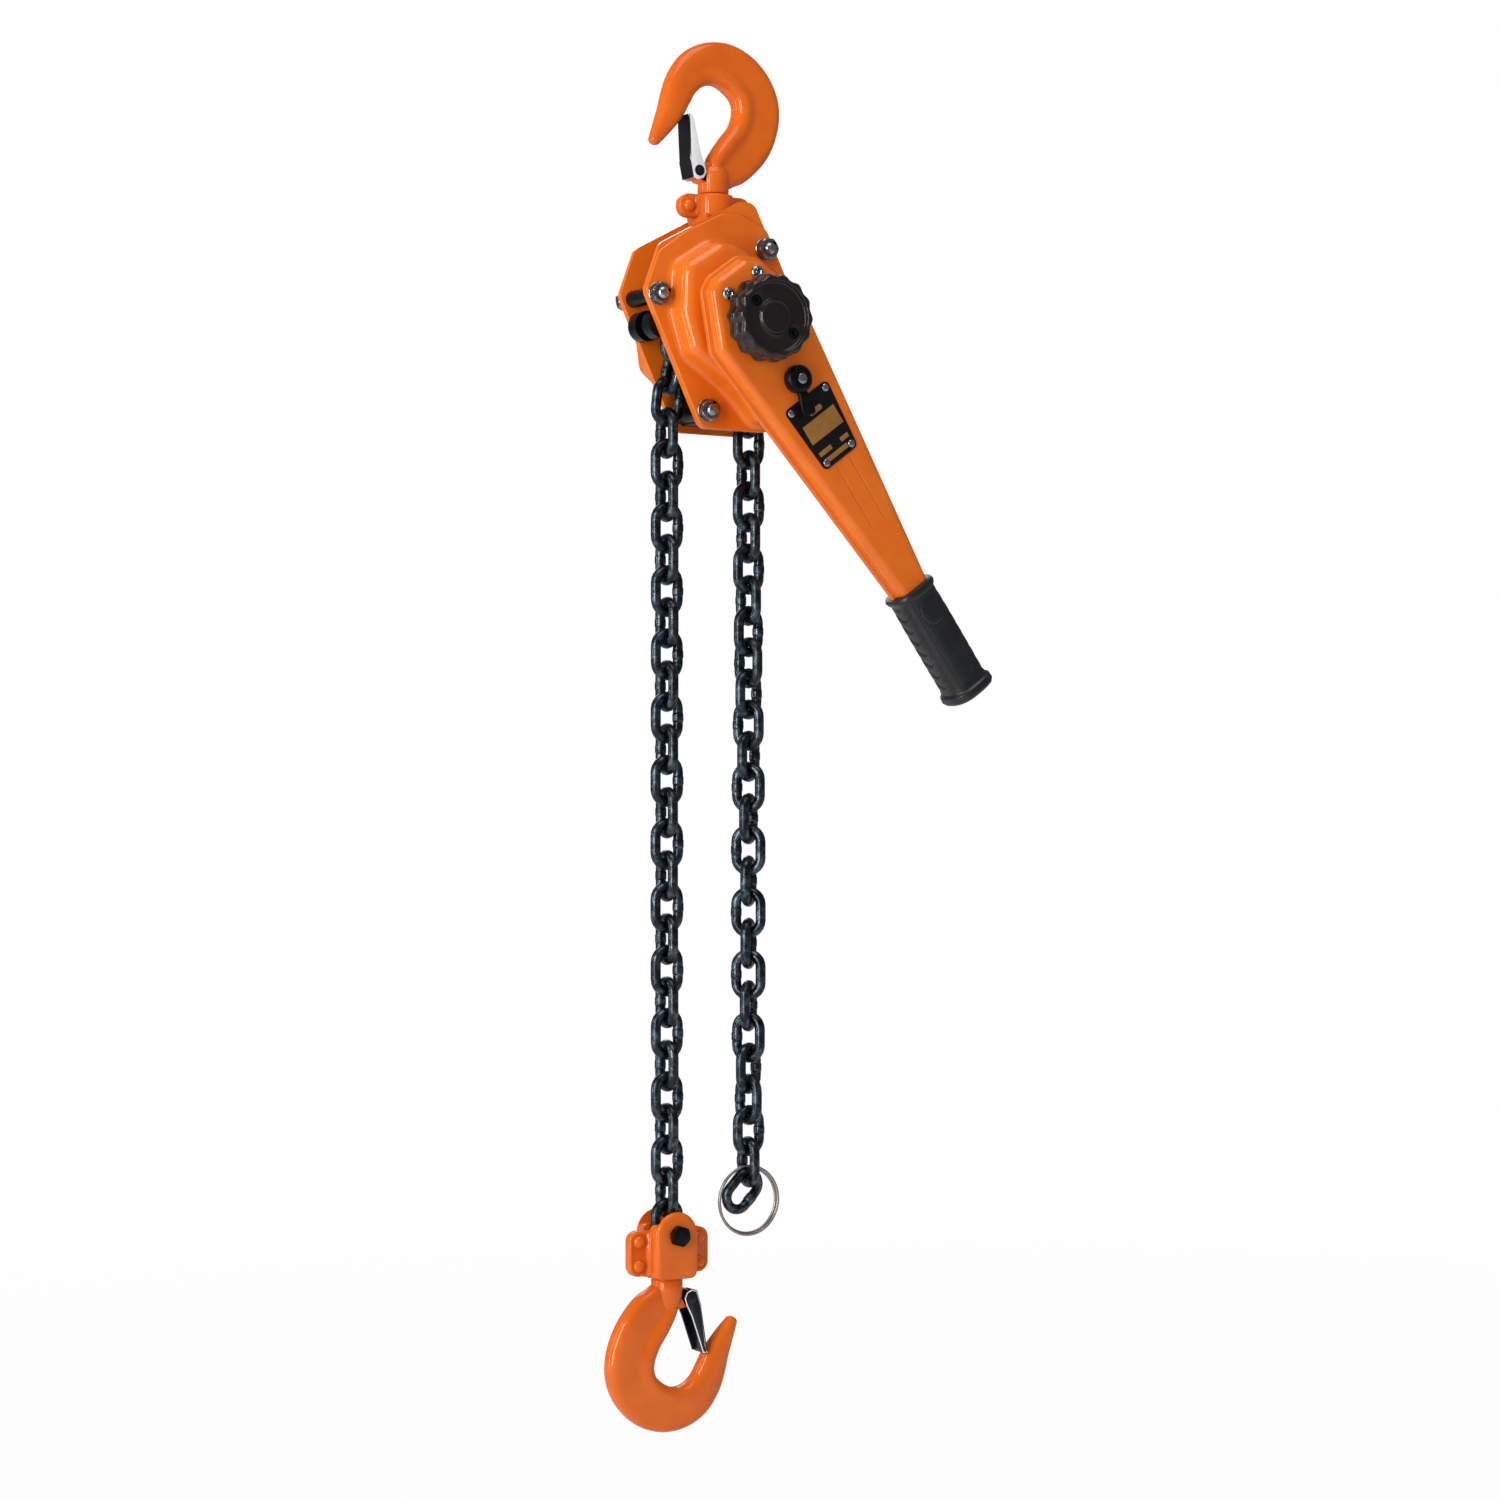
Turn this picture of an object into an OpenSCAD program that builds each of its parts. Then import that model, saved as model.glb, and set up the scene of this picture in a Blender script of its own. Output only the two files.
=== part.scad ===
// Lever chain hoist (come along): one fall of 10 x 30 link chain, top and bottom swivel hooks.
// +Z is up, -Y is the front (lever and hand wheel), +X is to the right of the front.
// The origin is the load saddle of the top hook, on the axis of its shank.

/* [Chain] */
// link wire diameter
wire = 9.8; // [9:0.1:10]
// inner length of a link, the nominal chain pitch
pitch = 30; // [29:0.5:31]
// play between two neighbouring links
link_play = 0.2; // [0.1:0.05:0.3]
// outer width of a link
link_w = 34; // [33:0.5:36]
// thickness of the weld collar on one leg
weld_bump = 1; // [0.4:0.1:1.6]
// length of the weld collar
weld_len = 7; // [5:0.5:9]
// lying and standing pairs in the load fall below the body
load_pairs = 13; // [9:1:16]
// lying and standing pairs in the tail fall
tail_pairs = 13; // [9:1:16]

/* [Load sheave] */
// chain turned past level at the left of the sheave, degrees
sheave_phase = 3; // [0:0.5:6]
// width of the sheave between the side plates
sheave_w = 40; // [39:0.2:41]
// radius of the sheave's outer rims
sheave_r = 44; // [42:0.5:45]
// radius of the teeth between the pockets
sheave_tooth_r = 38.5; // [37:0.5:39]
// side play of a link in its pocket
pocket_play = 0.4; // [0.3:0.1:0.8]
// diameter of the sheave's bearing journals
journal_d = 46; // [44:0.5:48]
// diameter of the sleeve that carries the load gear
sleeve_d = 36; // [34:0.5:38]
// diameter of the pinion shaft inside the sheave
shaft_d = 24; // [23.5:0.1:24.5]
// diameter of the pinion shaft's rear end
shaft_end_d = 16; // [15:0.5:17]

/* [Frame] */
// distance between the inner faces of the side plates
plate_gap = 42; // [41.6:0.1:43]
// thickness of a side plate
plate_t = 5; // [4:0.5:6]
// corner radius of the side plates
plate_corner = 12; // [8:1:16]
// diameter of the stay bolts in the plates
stay_d = 12; // [10:0.5:13]
// diameter of the stay bolts between the plates
stay_spacer_d = 16; // [14:0.5:18]
// width across flats of the stay nuts
stay_nut_af = 19; // [17:1:21]
// height of a stay nut
stay_nut_h = 9; // [7:0.5:11]
// diameter of the suspension pin
pin_d = 14; // [12:0.5:16]
// height from the top saddle down to the suspension pin
pin_drop = 150; // [147:1:153]
// height of the suspension pin above the sheave axis
pin_rise = 83; // [80:1:86]
// diameter of the guide rollers
roller_d = 29; // [26:0.5:31]
// diameter of the guide roller pins
roller_pin_d = 9; // [8:0.5:10]
// distance of the guide rollers from the sheave axis
roller_reach = 67; // [66:0.5:70]

/* [Covers] */
// wall of the pressed covers
cover_wall = 2.5; // [2:0.25:3]
// depth of the brake cover in front of the side plate
brake_cover_depth = 27; // [25:0.5:29]
// depth of the gear cover behind the side plate
gear_cover_depth = 34; // [33:0.5:38]
// corner radius of the covers' domes
dome_corner = 12; // [10:0.5:13]
// fillet round the top of the covers' domes
dome_fillet = 6; // [4:0.5:6.5]

/* [Gears] */
// gear module
gear_module = 1.9; // [1.8:0.05:2]
// teeth of the small gears
small_teeth = 10; // [10:2:10]
// teeth of the large gears
large_teeth = 30; // [30:2:30]
// width of the gear teeth
gear_w = 9; // [7:0.5:10]
// play between two meshed flanks
gear_play = 0.4; // [0.3:0.05:0.5]
// diameter of the intermediate gears' journals
idler_journal_d = 10; // [8:0.5:12]

/* [Brake] */
// tip radius of the ratchet wheel
ratchet_r = 40; // [38:0.5:42]
// number of ratchet teeth
ratchet_teeth = 15; // [12:1:18]
// depth of the ratchet teeth
ratchet_depth = 4; // [3:0.25:4.5]
// thickness of the ratchet wheel
ratchet_t = 6; // [5:0.5:7]
// thickness of a friction disc
lining_t = 2.5; // [2:0.25:3]
// radius of the friction discs
lining_r = 33; // [30:0.5:34]
// distance of the pawl pins from the sheave axis
pawl_reach = 56; // [54:0.5:58]

/* [Lever] */
// angle of the lever from straight down
lever_angle = 35.5; // [0:0.5:60]
// length from the sheave axis to the end of the grip
lever_len = 425; // [380:5:460]
// radius of the lever's head
lever_head_r = 57; // [55:0.5:60]
// corner radius of the lever's outline
lever_corner = 12; // [8:1:14]
// half width of the lever at the grip
lever_neck_r = 20; // [17:0.5:22]
// thickness over both lever shells
lever_t = 31; // [27:0.5:33]
// wall of the lever shells
lever_wall = 2.5; // [2:0.25:3]
// front face of the lever, measured from the middle of the chain
lever_front_y = 88; // [87.5:0.5:92]
// length of the rubber grip
grip_len = 124; // [110:2:140]
// width of the grip
grip_w = 45; // [43:0.5:50]
// depth of the grip
grip_depth = 42; // [40:0.5:46]

/* [Hand wheel] */
// diameter of the hand wheel over its lobes
wheel_d = 83; // [76:1:88]
// depth of the hand wheel's rim
wheel_t = 31; // [26:0.5:34]
// number of finger lobes
wheel_lobes = 14; // [10:1:16]
// depth of the hollows between the lobes
wheel_hollow = 2.6; // [1.5:0.1:4]
// how far the hand wheel pulls out to free the chain
wheel_pull = 6; // [4:0.5:7]

/* [Hooks] */
// thickness factor of the forged hooks
hook_thick = 26; // [24:0.5:28]
// diameter of the hook shanks
shank_d = 30; // [28:0.5:32]
// diameter of the hook necks in their swivels
neck_d = 20; // [18:0.5:22]
// diameter of the forged head above the neck
button_d = 33; // [31:0.5:35]
// height of the forged head
button_h = 10; // [9:0.5:11]
// inner diameter of a hook's bowl
bowl_d = 48; // [46:0.5:50]
// sideways shift of the load hook's bowl
load_bowl_shift = 6; // [0:0.5:8]
// radial clearance of pins, necks and shafts that turn
run_clear = 0.05; // [0.02:0.01:0.1]
// air between neighbouring pieces that move past each other
air = 0.4; // [0.3:0.1:0.6]

/* [Yoke and block] */
// radius of the yoke's round body
yoke_r = 19.5; // [18:0.5:20]
// radius of the block's round body
block_r = 22; // [21.5:0.5:24]
// half width over the riveted ears of the yoke
yoke_ear = 39; // [36:0.5:42]
// half width over the riveted ears of the block
block_ear = 43; // [40:0.5:46]
// thickness of one riveted ear
ear_t = 5; // [4:0.5:6]
// height of the chain bolt above the block's floor
block_len = 41.5; // [40:0.5:44]
// diameter of the chain bolt in the block
chain_bolt_d = 12; // [11:0.5:13]
// diameter of the rivets
rivet_d = 7; // [6:0.5:8]

/* [Tail end] */
// lean of the last tail link
end_tilt = 44; // [0:1:50]
// outer diameter of the split ring
ring_d = 70; // [60:1:80]
// wire diameter of the split ring
ring_wire = 2.3; // [2:0.1:3]

/* [Hidden] */
$fn = 48;
eps = 0.01;
// chain: a lying link shows its wire end-on, so its two wire centres are the nodes of the path
half_in = (pitch + link_play) / 2;
sheave_drop = pin_drop + pin_rise;
lying_len = 2 * (half_in + wire / 2);
standing_len = 2 * (half_in - wire / 2 - link_play);
arc_r = (link_w - wire) / 2;
leg_half = half_in - (arc_r - wire / 2);
// sheave: four pockets, each holding one lying and one standing link
node_r = find_node_r(pitch, 2 * pitch, 40);
lying_half = asin(lying_len / 2 / node_r);
standing_half = asin(standing_len / 2 / node_r);
pocket_floor = node_r * cos(lying_half) - wire / 2;
groove_r = node_r * cos(standing_half) - link_w / 2 - 1.5;
left_angle = 180 + sheave_phase;
// load fall: it leaves the sheave and leans out past the lower stay bolt
n0 = [node_r * cos(left_angle), node_r * sin(left_angle) - sheave_drop];
lean_a = [-1, -8, -2.2];
n1 = step_down(n0, lean_a[0], standing_len);
n2 = step_down(n1, lean_a[1], lying_len);
n3 = step_down(n2, lean_a[2], standing_len);
fall_x = n3[0];
fall_end = n3[1] - load_pairs * (lying_len + standing_len);
last_standing_z = fall_end + standing_len / 2;
// tail fall, straight down from the right of the sheave
t0 = [node_r * cos(left_angle - 180), node_r * sin(left_angle - 180) - sheave_drop];
tail_end = t0[1] - tail_pairs * (lying_len + standing_len) - lying_len;
// frame: corners of the side plates about the sheave axis, left corner first, anticlockwise
plate_corners = [[-89.5, 29], [-29, -98], [45, -99], [95, -10], [30, 120], [14, 120], [-73, 74]];
cover_corners = [[-89.5, 29], [-29, -98], [45, -99], [95, -10], [43, 95], [14, 107.5], [-5, 107.5],
    [-46, 87.5], [-75, 67]];
plate_in = plate_gap / 2;
plate_out = plate_in + plate_t;
stay_places = [[-76, 26], [41, 76], [-23, -81]];
roller_angles = [180, -4];
// gears
gear_a = gear_module * (small_teeth + large_teeth) / 2;
idler_dirs = [115, 295];
idler_places = [for (a = idler_dirs) gear_a * [cos(a), sin(a)] + [0, -sheave_drop]];
gear_ratio = large_teeth / small_teeth;
load_gear_y = plate_out + 2;
fast_gear_y = load_gear_y + gear_w + 2;
bearing_plate_y = fast_gear_y + gear_w - 2 + 1.5;
bearing_plate_t = 4;
// brake stack, from the front side plate outwards (distances in front of the chain)
hub_y = plate_out + 2;
hub_t = 5;
disc1_y = hub_y + hub_t;
ratchet_y = disc1_y + lining_t;
disc2_y = ratchet_y + ratchet_t;
feed_y = disc2_y + lining_t;
lever_back_y = lever_front_y - lever_t;
lever_mid_y = lever_front_y - lever_t / 2;
hub_bore_r = 22;
hub_neck_r = 15;
// places on the lever, measured along it from the sheave axis
neck_at = lever_len - grip_len + 14;
selector_at = 66;
plate_at = 84;
plate_len = 70;
plate_half_1 = 29;
plate_half_2 = 22;
wheel_back_y = lever_front_y + air + 0.2;
wheel_front_y = wheel_back_y + wheel_t;
// swivels
yoke_top = 105;
yoke_wall = 9;
shank_top = yoke_top - 1;
block_bolt_z = last_standing_z - half_in + chain_bolt_d / 2 + 0.15;
block_top = block_bolt_z + 22;
block_floor = block_bolt_z - block_len;
load_saddle = block_floor - 1 - shank_top;
latch_pin_d = 5;
latch_place = bowl_d / 48 * [-21, -84];
latch_gap = 18;
latch_t = 2;

// ---------- functions ----------

// radius on which a lying and a standing chord together fill a quarter turn
function find_node_r(lo, hi, n) =
    let (mid = (lo + hi) / 2, s = asin(lying_len / 2 / mid) + asin(standing_len / 2 / mid))
    n == 0 ? mid : s > 45 ? find_node_r(mid, hi, n - 1) : find_node_r(lo, mid, n - 1);

// next node of a fall: dx sideways, the link's node distance long
function step_down(p, dx, len) = [p[0] + dx, p[1] - sqrt(len * len - dx * dx)];

function unit(v) = v / norm(v);

// corner points of an outline moved inwards by d
function inset(p, d) =
    let (n = len(p))
    [for (i = [0:n - 1])
        let (u = unit(p[(i + n - 1) % n] - p[i]), v = unit(p[(i + 1) % n] - p[i]),
             h = acos(u * v) / 2)
        p[i] + unit(u + v) * sign(cross(v, u)) * d / sin(h)];

// outline with its corners rounded to radius r by n + 1 points each
function rounded(p, r, n) =
    let (m = len(p))
    [for (i = [0:m - 1])
        let (u = unit(p[(i + m - 1) % m] - p[i]), v = unit(p[(i + 1) % m] - p[i]),
             h = acos(u * v) / 2, c = p[i] + unit(u + v) * r / sin(h),
             s = p[i] + u * r / tan(h) - c, e = p[i] + v * r / tan(h) - c,
             a0 = atan2(s[1], s[0]), a1 = atan2(e[1], e[0]),
             da = a1 - a0 < -180 ? a1 - a0 + 360 : a1 - a0 > 180 ? a1 - a0 - 360 : a1 - a0)
        for (k = [0:n]) c + r * [cos(a0 + da * k / n), sin(a0 + da * k / n)]];

// outline of the side plates or of the covers' rims, moved inwards by d
function plate_pts(d, corners = plate_corners, n = 5) =
    let (r = max(3, plate_corner - d))
    [for (q = rounded(inset(corners, d), r, n)) q + [0, -sheave_drop]];

// outline of the lever moved inwards by d, flat across the head's end
function lever_pts(d, n = 5) =
    let (r = lever_head_r, e = neck_at + lever_neck_r, w = lever_neck_r - 2.2)
    rounded(inset([[4, r], [-0.82 * r, 0.675 * r], [-1.05 * r, 0.37 * r], [-1.05 * r, -0.3 * r],
        [-0.93 * r, -0.55 * r], [1, -r], [e, -w], [e, w]], d), max(4, lever_corner - d), n);

// place on the lever (along, across) as a place on the front
function on_lever(p) =
    [p[0] * sin(lever_angle) + p[1] * cos(lever_angle),
     -p[0] * cos(lever_angle) + p[1] * sin(lever_angle) - sheave_drop];

function lever_xz(pts) = [for (q = pts) on_lever(q)];

// involute gear outline with profile shift x
function inv_deg(a) = tan(a) * 180 / PI - a;
function flank(z, r, x) =
    let (rb = gear_module * z / 2 * cos(20), a = r > rb ? acos(rb / r) : 0)
    (90 + 2 * x * tan(20) * 180 / PI) / z + (inv_deg(20) - inv_deg(a)) - gear_play / r * 14;
function gear_pts(z, x) =
    let (rp = gear_module * z / 2, ra = rp + gear_module * (0.95 + x),
         rf = rp - gear_module * (1.25 - x), rb = rp * cos(20), r0 = max(rf + 0.1, rb),
         rs = [r0, r0 + (ra - r0) * 0.35, r0 + (ra - r0) * 0.7, ra])
    [for (i = [0:z - 1])
        let (c = i * 360 / z)
        for (s = [-1, 1])
            let (q = s < 0 ? [rf, rs[0], rs[1], rs[2], rs[3]] : [rs[3], rs[2], rs[1], rs[0], rf])
            for (r = q) r * [cos(c + s * flank(z, max(r, r0), x)), sin(c + s * flank(z, max(r, r0), x))]];

// ratchet outline: spiral tooth backs and undercut faces
function ratchet_pts() =
    [for (i = [0:ratchet_teeth - 1])
        let (a = 360 / ratchet_teeth)
        for (k = [0:3])
            (ratchet_r - ratchet_depth * (1 - k / 3)) *
                [cos(i * a + a * (0.06 + 0.88 * k / 3)), sin(i * a + a * (0.06 + 0.88 * k / 3))]];

// smooth point between p1 and p2 of a list of points
function spline(p0, p1, p2, p3, u) =
    0.5 * (2 * p1 + (p2 - p0) * u + (2 * p0 - 5 * p1 + 4 * p2 - p3) * u * u
        + (3 * p1 - p0 - 3 * p2 + p3) * u * u * u);
function smooth(p, n) =
    let (m = len(p) - 1)
    [for (i = [0:m - 1]) for (k = [0:n - 1])
        spline(p[max(0, i - 1)], p[i], p[i + 1], p[min(m, i + 2)], k / n), p[m]];

// ---------- shape helpers ----------

// solid between rings of points; each ring runs anticlockwise about the way it travels
module skin(rings, flip = false) {
    n = len(rings[0]);
    m = len(rings);
    pts = [for (r = rings) each r];
    sides = [for (k = [0:m - 2]) for (i = [0:n - 1])
        let (j = (i + 1) % n, a = k * n + i, b = k * n + j, c = (k + 1) * n + j, d = (k + 1) * n + i)
        each [[a, d, c], [a, c, b]]];
    caps = [[for (i = [0:n - 1]) i], [for (i = [n - 1:-1:0]) (m - 1) * n + i]];
    faces = concat(sides, caps);
    polyhedron(pts, flip ? [for (f = faces) [for (i = [len(f) - 1:-1:0]) f[i]]] : faces);
}

// flat outline (front view) as a ring at depth y
function ring_at(pts, y) = [for (q = pts) [q[0], y, q[1]]];

// front-view outline extruded from depth y0 to y1
module slab(pts, y0, y1) {
    translate([0, y1, 0])
        rotate([90, 0, 0])
        linear_extrude(y1 - y0)
        polygon(pts);
}

// round bar along Y, centred on a front-view point
module bar_y(c, d, y0, y1) {
    translate([c[0], y1, c[1]])
        rotate([90, 0, 0])
        cylinder(d = d, h = y1 - y0);
}

module cone_y(c, d0, d1, y0, y1) {
    translate([c[0], y0, c[1]])
        rotate([-90, 0, 0])
        cylinder(d1 = d0, d2 = d1, h = y1 - y0);
}

// hexagon nut along Y
module hex_y(c, af, y0, y1, turn = 0) {
    translate([c[0], y1, c[1]])
        rotate([90, 0, 0])
        rotate(turn)
        cylinder(d = af / cos(30), h = y1 - y0, $fn = 6);
}

// ---------- chain ----------

// one link, centred, its length along Z and its opening seen from the front
module link() {
    for (s = [-1, 1]) {
        translate([0, 0, s * leg_half])
            rotate([90, 0, 0])
            rotate_extrude(angle = 180, start = s > 0 ? 0 : 180)
            translate([arc_r, 0])
            circle(d = wire);
        translate([s * arc_r, 0, -leg_half - eps])
            cylinder(d = wire, h = 2 * leg_half + 2 * eps);
    }
    translate([arc_r, 0, -weld_len / 2])
        cylinder(d = wire + weld_bump, h = weld_len);
}

// link between two front-view points a (upper) and b (lower)
module link_between(a, b, lying) {
    c = (a + b) / 2;
    ang = atan2(b[0] - a[0], a[1] - b[1]);
    translate([c[0], 0, c[1]])
        rotate([0, -ang, 0])
        rotate([0, 0, lying ? 90 : 0])
        link();
}

function node_at(a) = [node_r * cos(a), node_r * sin(a) - sheave_drop];

module wrapped_chain() {
    color("#39434a") {
        for (k = [0, 1]) {
            a = left_angle - 90 * k;
            link_between(node_at(a - 2 * lying_half), node_at(a), true);
            b = a - 2 * lying_half;
            link_between(node_at(b - 2 * standing_half), node_at(b), false);
        }
    }
}

// links between the side plates, and the first lying one below them
module load_chain_upper() {
    color("#39434a") {
        link_between(n0, n1, false);
        link_between(n1, n2, true);
        link_between(n2, n3, false);
        link_between(n3, n3 - [0, lying_len], true);
    }
}

// straight run: standing link first, then pairs of a lying and a standing link
module run(x, z, pairs) {
    link_between([x, z], [x, z - standing_len], false);
    for (k = [0:pairs - 1]) {
        a = z - standing_len - k * (lying_len + standing_len);
        link_between([x, a], [x, a - lying_len], true);
        link_between([x, a - lying_len], [x, a - lying_len - standing_len], false);
    }
}

module load_chain() {
    color("#39434a")
        run(fall_x, n3[1] - lying_len, load_pairs - 1);
}

module tail_chain_upper() {
    color("#39434a") {
        link_between(t0, t0 - [0, lying_len], true);
        link_between(t0 - [0, lying_len], t0 - [0, lying_len + standing_len], false);
        link_between(t0 - [0, lying_len + standing_len], t0 - [0, 2 * lying_len + standing_len], true);
    }
}

module tail_chain() {
    z = t0[1] - 2 * lying_len - standing_len;
    color("#39434a") {
        run(t0[0], z, tail_pairs - 2);
        link_between([t0[0], tail_end + lying_len], [t0[0], tail_end], true);
    }
}

module tail_end_link() {
    color("#39434a")
        link_between([t0[0], tail_end],
            [t0[0] - standing_len * sin(end_tilt), tail_end - standing_len * cos(end_tilt)], false);
}

// double turn of spring wire, threaded through the last upright link
ring_mid = (ring_d - ring_wire) / 2;
ring_turns = 2;
ring_steps = 24;
ring_pitch = ring_wire + 0.45;
end_crown = arc_r + wire / 2 - (standing_len / 2 - leg_half) * cos(end_tilt);
ring_c = [t0[0], tail_end + end_crown + air - ring_mid + ring_wire / 2];
module split_ring() {
    color("#b9bcc0")
        skin([for (k = [0:ring_turns * ring_steps])
            let (a = 90 + 360 * k / ring_steps, y = ring_pitch * (k / ring_steps - ring_turns / 2))
            [for (i = [0:5])
                let (b = 60 * i, r = ring_mid + ring_wire / 2 * cos(b))
                [ring_c[0] + r * cos(a), y + ring_wire / 2 * sin(b), ring_c[1] + r * sin(a)]]], false);
}

// ---------- hooks ----------

// centre line of the forged hook about its saddle: x, z, width in the plane, thickness
hook_k = bowl_d / 48;
function hook_stations(shift) =
    [for (s = [[0, -shank_top / hook_k, shank_d / hook_k, 26 * shank_d / hook_thick, 0],
            [1, -92, 33, 26 * shank_d / hook_thick, 0],
            [9, -80, 43, 29, 0.2], [24, -67, 49, 27, 0.6], [38, -51, 50.5, 26, 1],
            [45.5, -33, 50.5, 26, 1], [46.5, -16, 50, 26, 1], [40, 0, 48, 26, 1],
            [27, 12.5, 47, 26, 1], [11, 19.5, 44.5, 26, 1], [-6, 20, 41, 25, 1],
            [-22, 13.5, 38, 24, 1], [-34, 1, 34, 23, 1], [-41, -13, 31, 22, 1],
            [-47, -27.5, 27, 20, 1], [-54.5, -40.5, 20, 17, 1], [-61, -51, 13.5, 14, 1],
            [-66, -59, 7, 9, 1]])
        [(s[0] - shift * s[4]) * hook_k, s[1] * hook_k, s[2] * hook_k, s[3] * hook_thick / 26]];

module hook(shift) {
    st = smooth(hook_stations(shift), 2);
    m = len(st) - 1;
    n = 16;
    difference() {
        union() {
            skin([for (k = [0:m])
                let (a = st[max(0, k - 1)], b = st[min(m, k + 1)],
                     t = unit([b[0] - a[0], b[1] - a[1]]), u = k == 0 ? [0, 1] : t,
                     nx = [-u[1], u[0]])
                [for (i = [0:n - 1])
                    let (f = 360 * i / n, cx = sign(cos(f)) * pow(abs(cos(f)), 0.8),
                         cy = sign(sin(f)) * pow(abs(sin(f)), 0.8), w = st[k][2] / 2 * cx)
                    [st[k][0] + nx[0] * w, -st[k][3] / 2 * cy, st[k][1] + nx[1] * w]]], false);
            bar_y(latch_place, 17, -latch_gap / 2 + air, latch_gap / 2 - air);
            slab([[-19 * hook_k, -shank_top + 8], [2, -shank_top + 6], [2, -72 * hook_k],
                [-18 * hook_k, -75 * hook_k]], -latch_gap / 2 + air, latch_gap / 2 - air);
        }
        for (s = [-1, 1])
            bar_y(latch_place, 32, s < 0 ? -30 : latch_gap / 2 - air, s < 0 ? -latch_gap / 2 + air : 30);
        bar_y(latch_place, latch_pin_d + 2 * run_clear, -20, 20);
    }
    translate([0, 0, -shank_top - yoke_wall - 3])
        cylinder(d = neck_d, h = yoke_wall + 5);
    translate([0, 0, -shank_top - 2 - yoke_wall - air - button_h])
        cylinder(d = button_d, h = button_h);
    translate([0, 0, -shank_top - 1 - yoke_wall - air - 1.01])
        cylinder(d1 = button_d, d2 = button_d - 4, h = 1);
}

module top_hook() {
    color("#e8762c")
        hook(0);
}

module bottom_hook() {
    color("#e8762c")
        translate([fall_x, 0, load_saddle])
        rotate([0, 180, 0])
        hook(load_bowl_shift);
}

// pressed safety latch: a spine with two cheeks, resting inside the hook's point
latch_tip = hook_k * [-32.5, -31];
module latch(shift) {
    tip = latch_tip - [shift * 0.9, 0];
    d = unit(tip - latch_place);
    s = [-d[1], d[0]];
    foot = latch_place;
    w = latch_gap / 2 + latch_t;
    difference() {
        union() {
            for (y = [-w, latch_gap / 2])
                slab([foot + s * 8 - d * 5, foot + s * 8 + d * 12, tip + s * 1 - d * 8, tip + s * 1,
                    tip - s * 4 - d * 2, foot - s * 5 + d * 16, foot - s * 7 + d * 4,
                    foot - s * 7 - d * 3, foot - s * 3 - d * 7.5, foot + s * 3 - d * 8], y, y + latch_t);
            slab([foot + s * 8 + d * 11, tip + s * 1 - d * 2, tip - s * 1.4 - d * 2, foot + s * 5.4 + d * 11],
                -w + eps, w - eps);
            slab([tip + s * 1 - d * 3, tip + s * 1, tip - s * 1.5, tip - s * 1.5 - d * 3], -w + eps, w - eps);
        }
        bar_y(foot, latch_pin_d + 2 * run_clear, -30, 30);
    }
}

module top_latch() {
    color("#c9ccd0")
        latch(0);
}

module bottom_latch() {
    color("#c9ccd0")
        translate([fall_x, 0, load_saddle])
        rotate([0, 180, 0])
        latch(load_bowl_shift);
}

module latch_pin() {
    w = latch_gap / 2 + latch_t;
    bar_y(latch_place, latch_pin_d, -w - 1.5, w + 1.5);
    for (s = [-1, 1])
        cone_y(latch_place, s < 0 ? 6 : 9, s < 0 ? 9 : 6, s < 0 ? -w - 2 : w + 0.3, s < 0 ? -w - 0.3 : w + 2);
}

module top_latch_pin() {
    color("#8e9296")
        latch_pin();
}

module bottom_latch_pin() {
    color("#8e9296")
        translate([fall_x, 0, load_saddle])
        rotate([0, 180, 0])
        latch_pin();
}

// ---------- yoke and block ----------

// one half of a swivel housing: round body, riveted ears, seat for a hook's head
// top: height of the swivel wall, down: -1 hangs from it, +1 stands on it
module swivel_half(side, r, ear, ear_lo, ear_hi, len, seat) {
    split = 0.1;
    intersection() {
        translate([-60, side < 0 ? -60 : split, -200])
            cube([120, 60 - split, 400]);
        difference() {
            union() {
                translate([0, 0, -len + r])
                    cylinder(r = r, h = len - r - 2);
                translate([0, 0, -2 - eps])
                    cylinder(r1 = r, r2 = r - 2, h = 2 + eps);
                intersection() {
                    translate([0, 0, -len + r])
                        rotate([90, 0, 0])
                        cylinder(r = r, h = 2 * r, center = true);
                    translate([-30, -r + 1, -len])
                        cube([60, 2 * r - 2, len]);
                }
                if (seat > 0)
                    bar_y([0, -seat], 23, -r - 0.5, r + 0.5);
                slab(rounded([[-ear, ear_lo], [ear, ear_lo], [ear, ear_hi], [-ear, ear_hi]],
                    min(10, (ear_hi - ear_lo) / 2 - 0.5), 6),
                    -ear_t, ear_t);
            }
            translate([0, 0, -yoke_wall - eps])
                cylinder(r = neck_d / 2 + run_clear, h = yoke_wall + 2);
            translate([0, 0, -yoke_wall - button_h - 3.5])
                cylinder(r = button_d / 2 + 0.3, h = button_h + 3.5);
            children();
        }
    }
}

module yoke_half(side) {
    translate([0, 0, -yoke_top])
        swivel_half(side, yoke_r, yoke_ear, -23, -0.5, pin_drop - yoke_top + 15, 0) {
        for (s = [-1, 1])
            bar_y([s * (yoke_ear - 10.5), -12], rivet_d, -30, 30);
        bar_y([0, yoke_top - pin_drop], pin_d + 2 * run_clear, -30, 30);
    }
}

module yoke_front() {
    color("#e8762c")
        yoke_half(-1);
}

module yoke_rear() {
    color("#e8762c")
        yoke_half(1);
}

// rivets through two ears at the given front-view places
module ear_rivets(places) {
    for (p = places) {
        bar_y(p, rivet_d, -ear_t - eps, ear_t + eps);
        for (s = [-1, 1])
            cone_y(p, s < 0 ? rivet_d : rivet_d + 4, s < 0 ? rivet_d + 4 : rivet_d,
                s < 0 ? -ear_t - 3 : ear_t, s < 0 ? -ear_t : ear_t + 3);
    }
}

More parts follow.
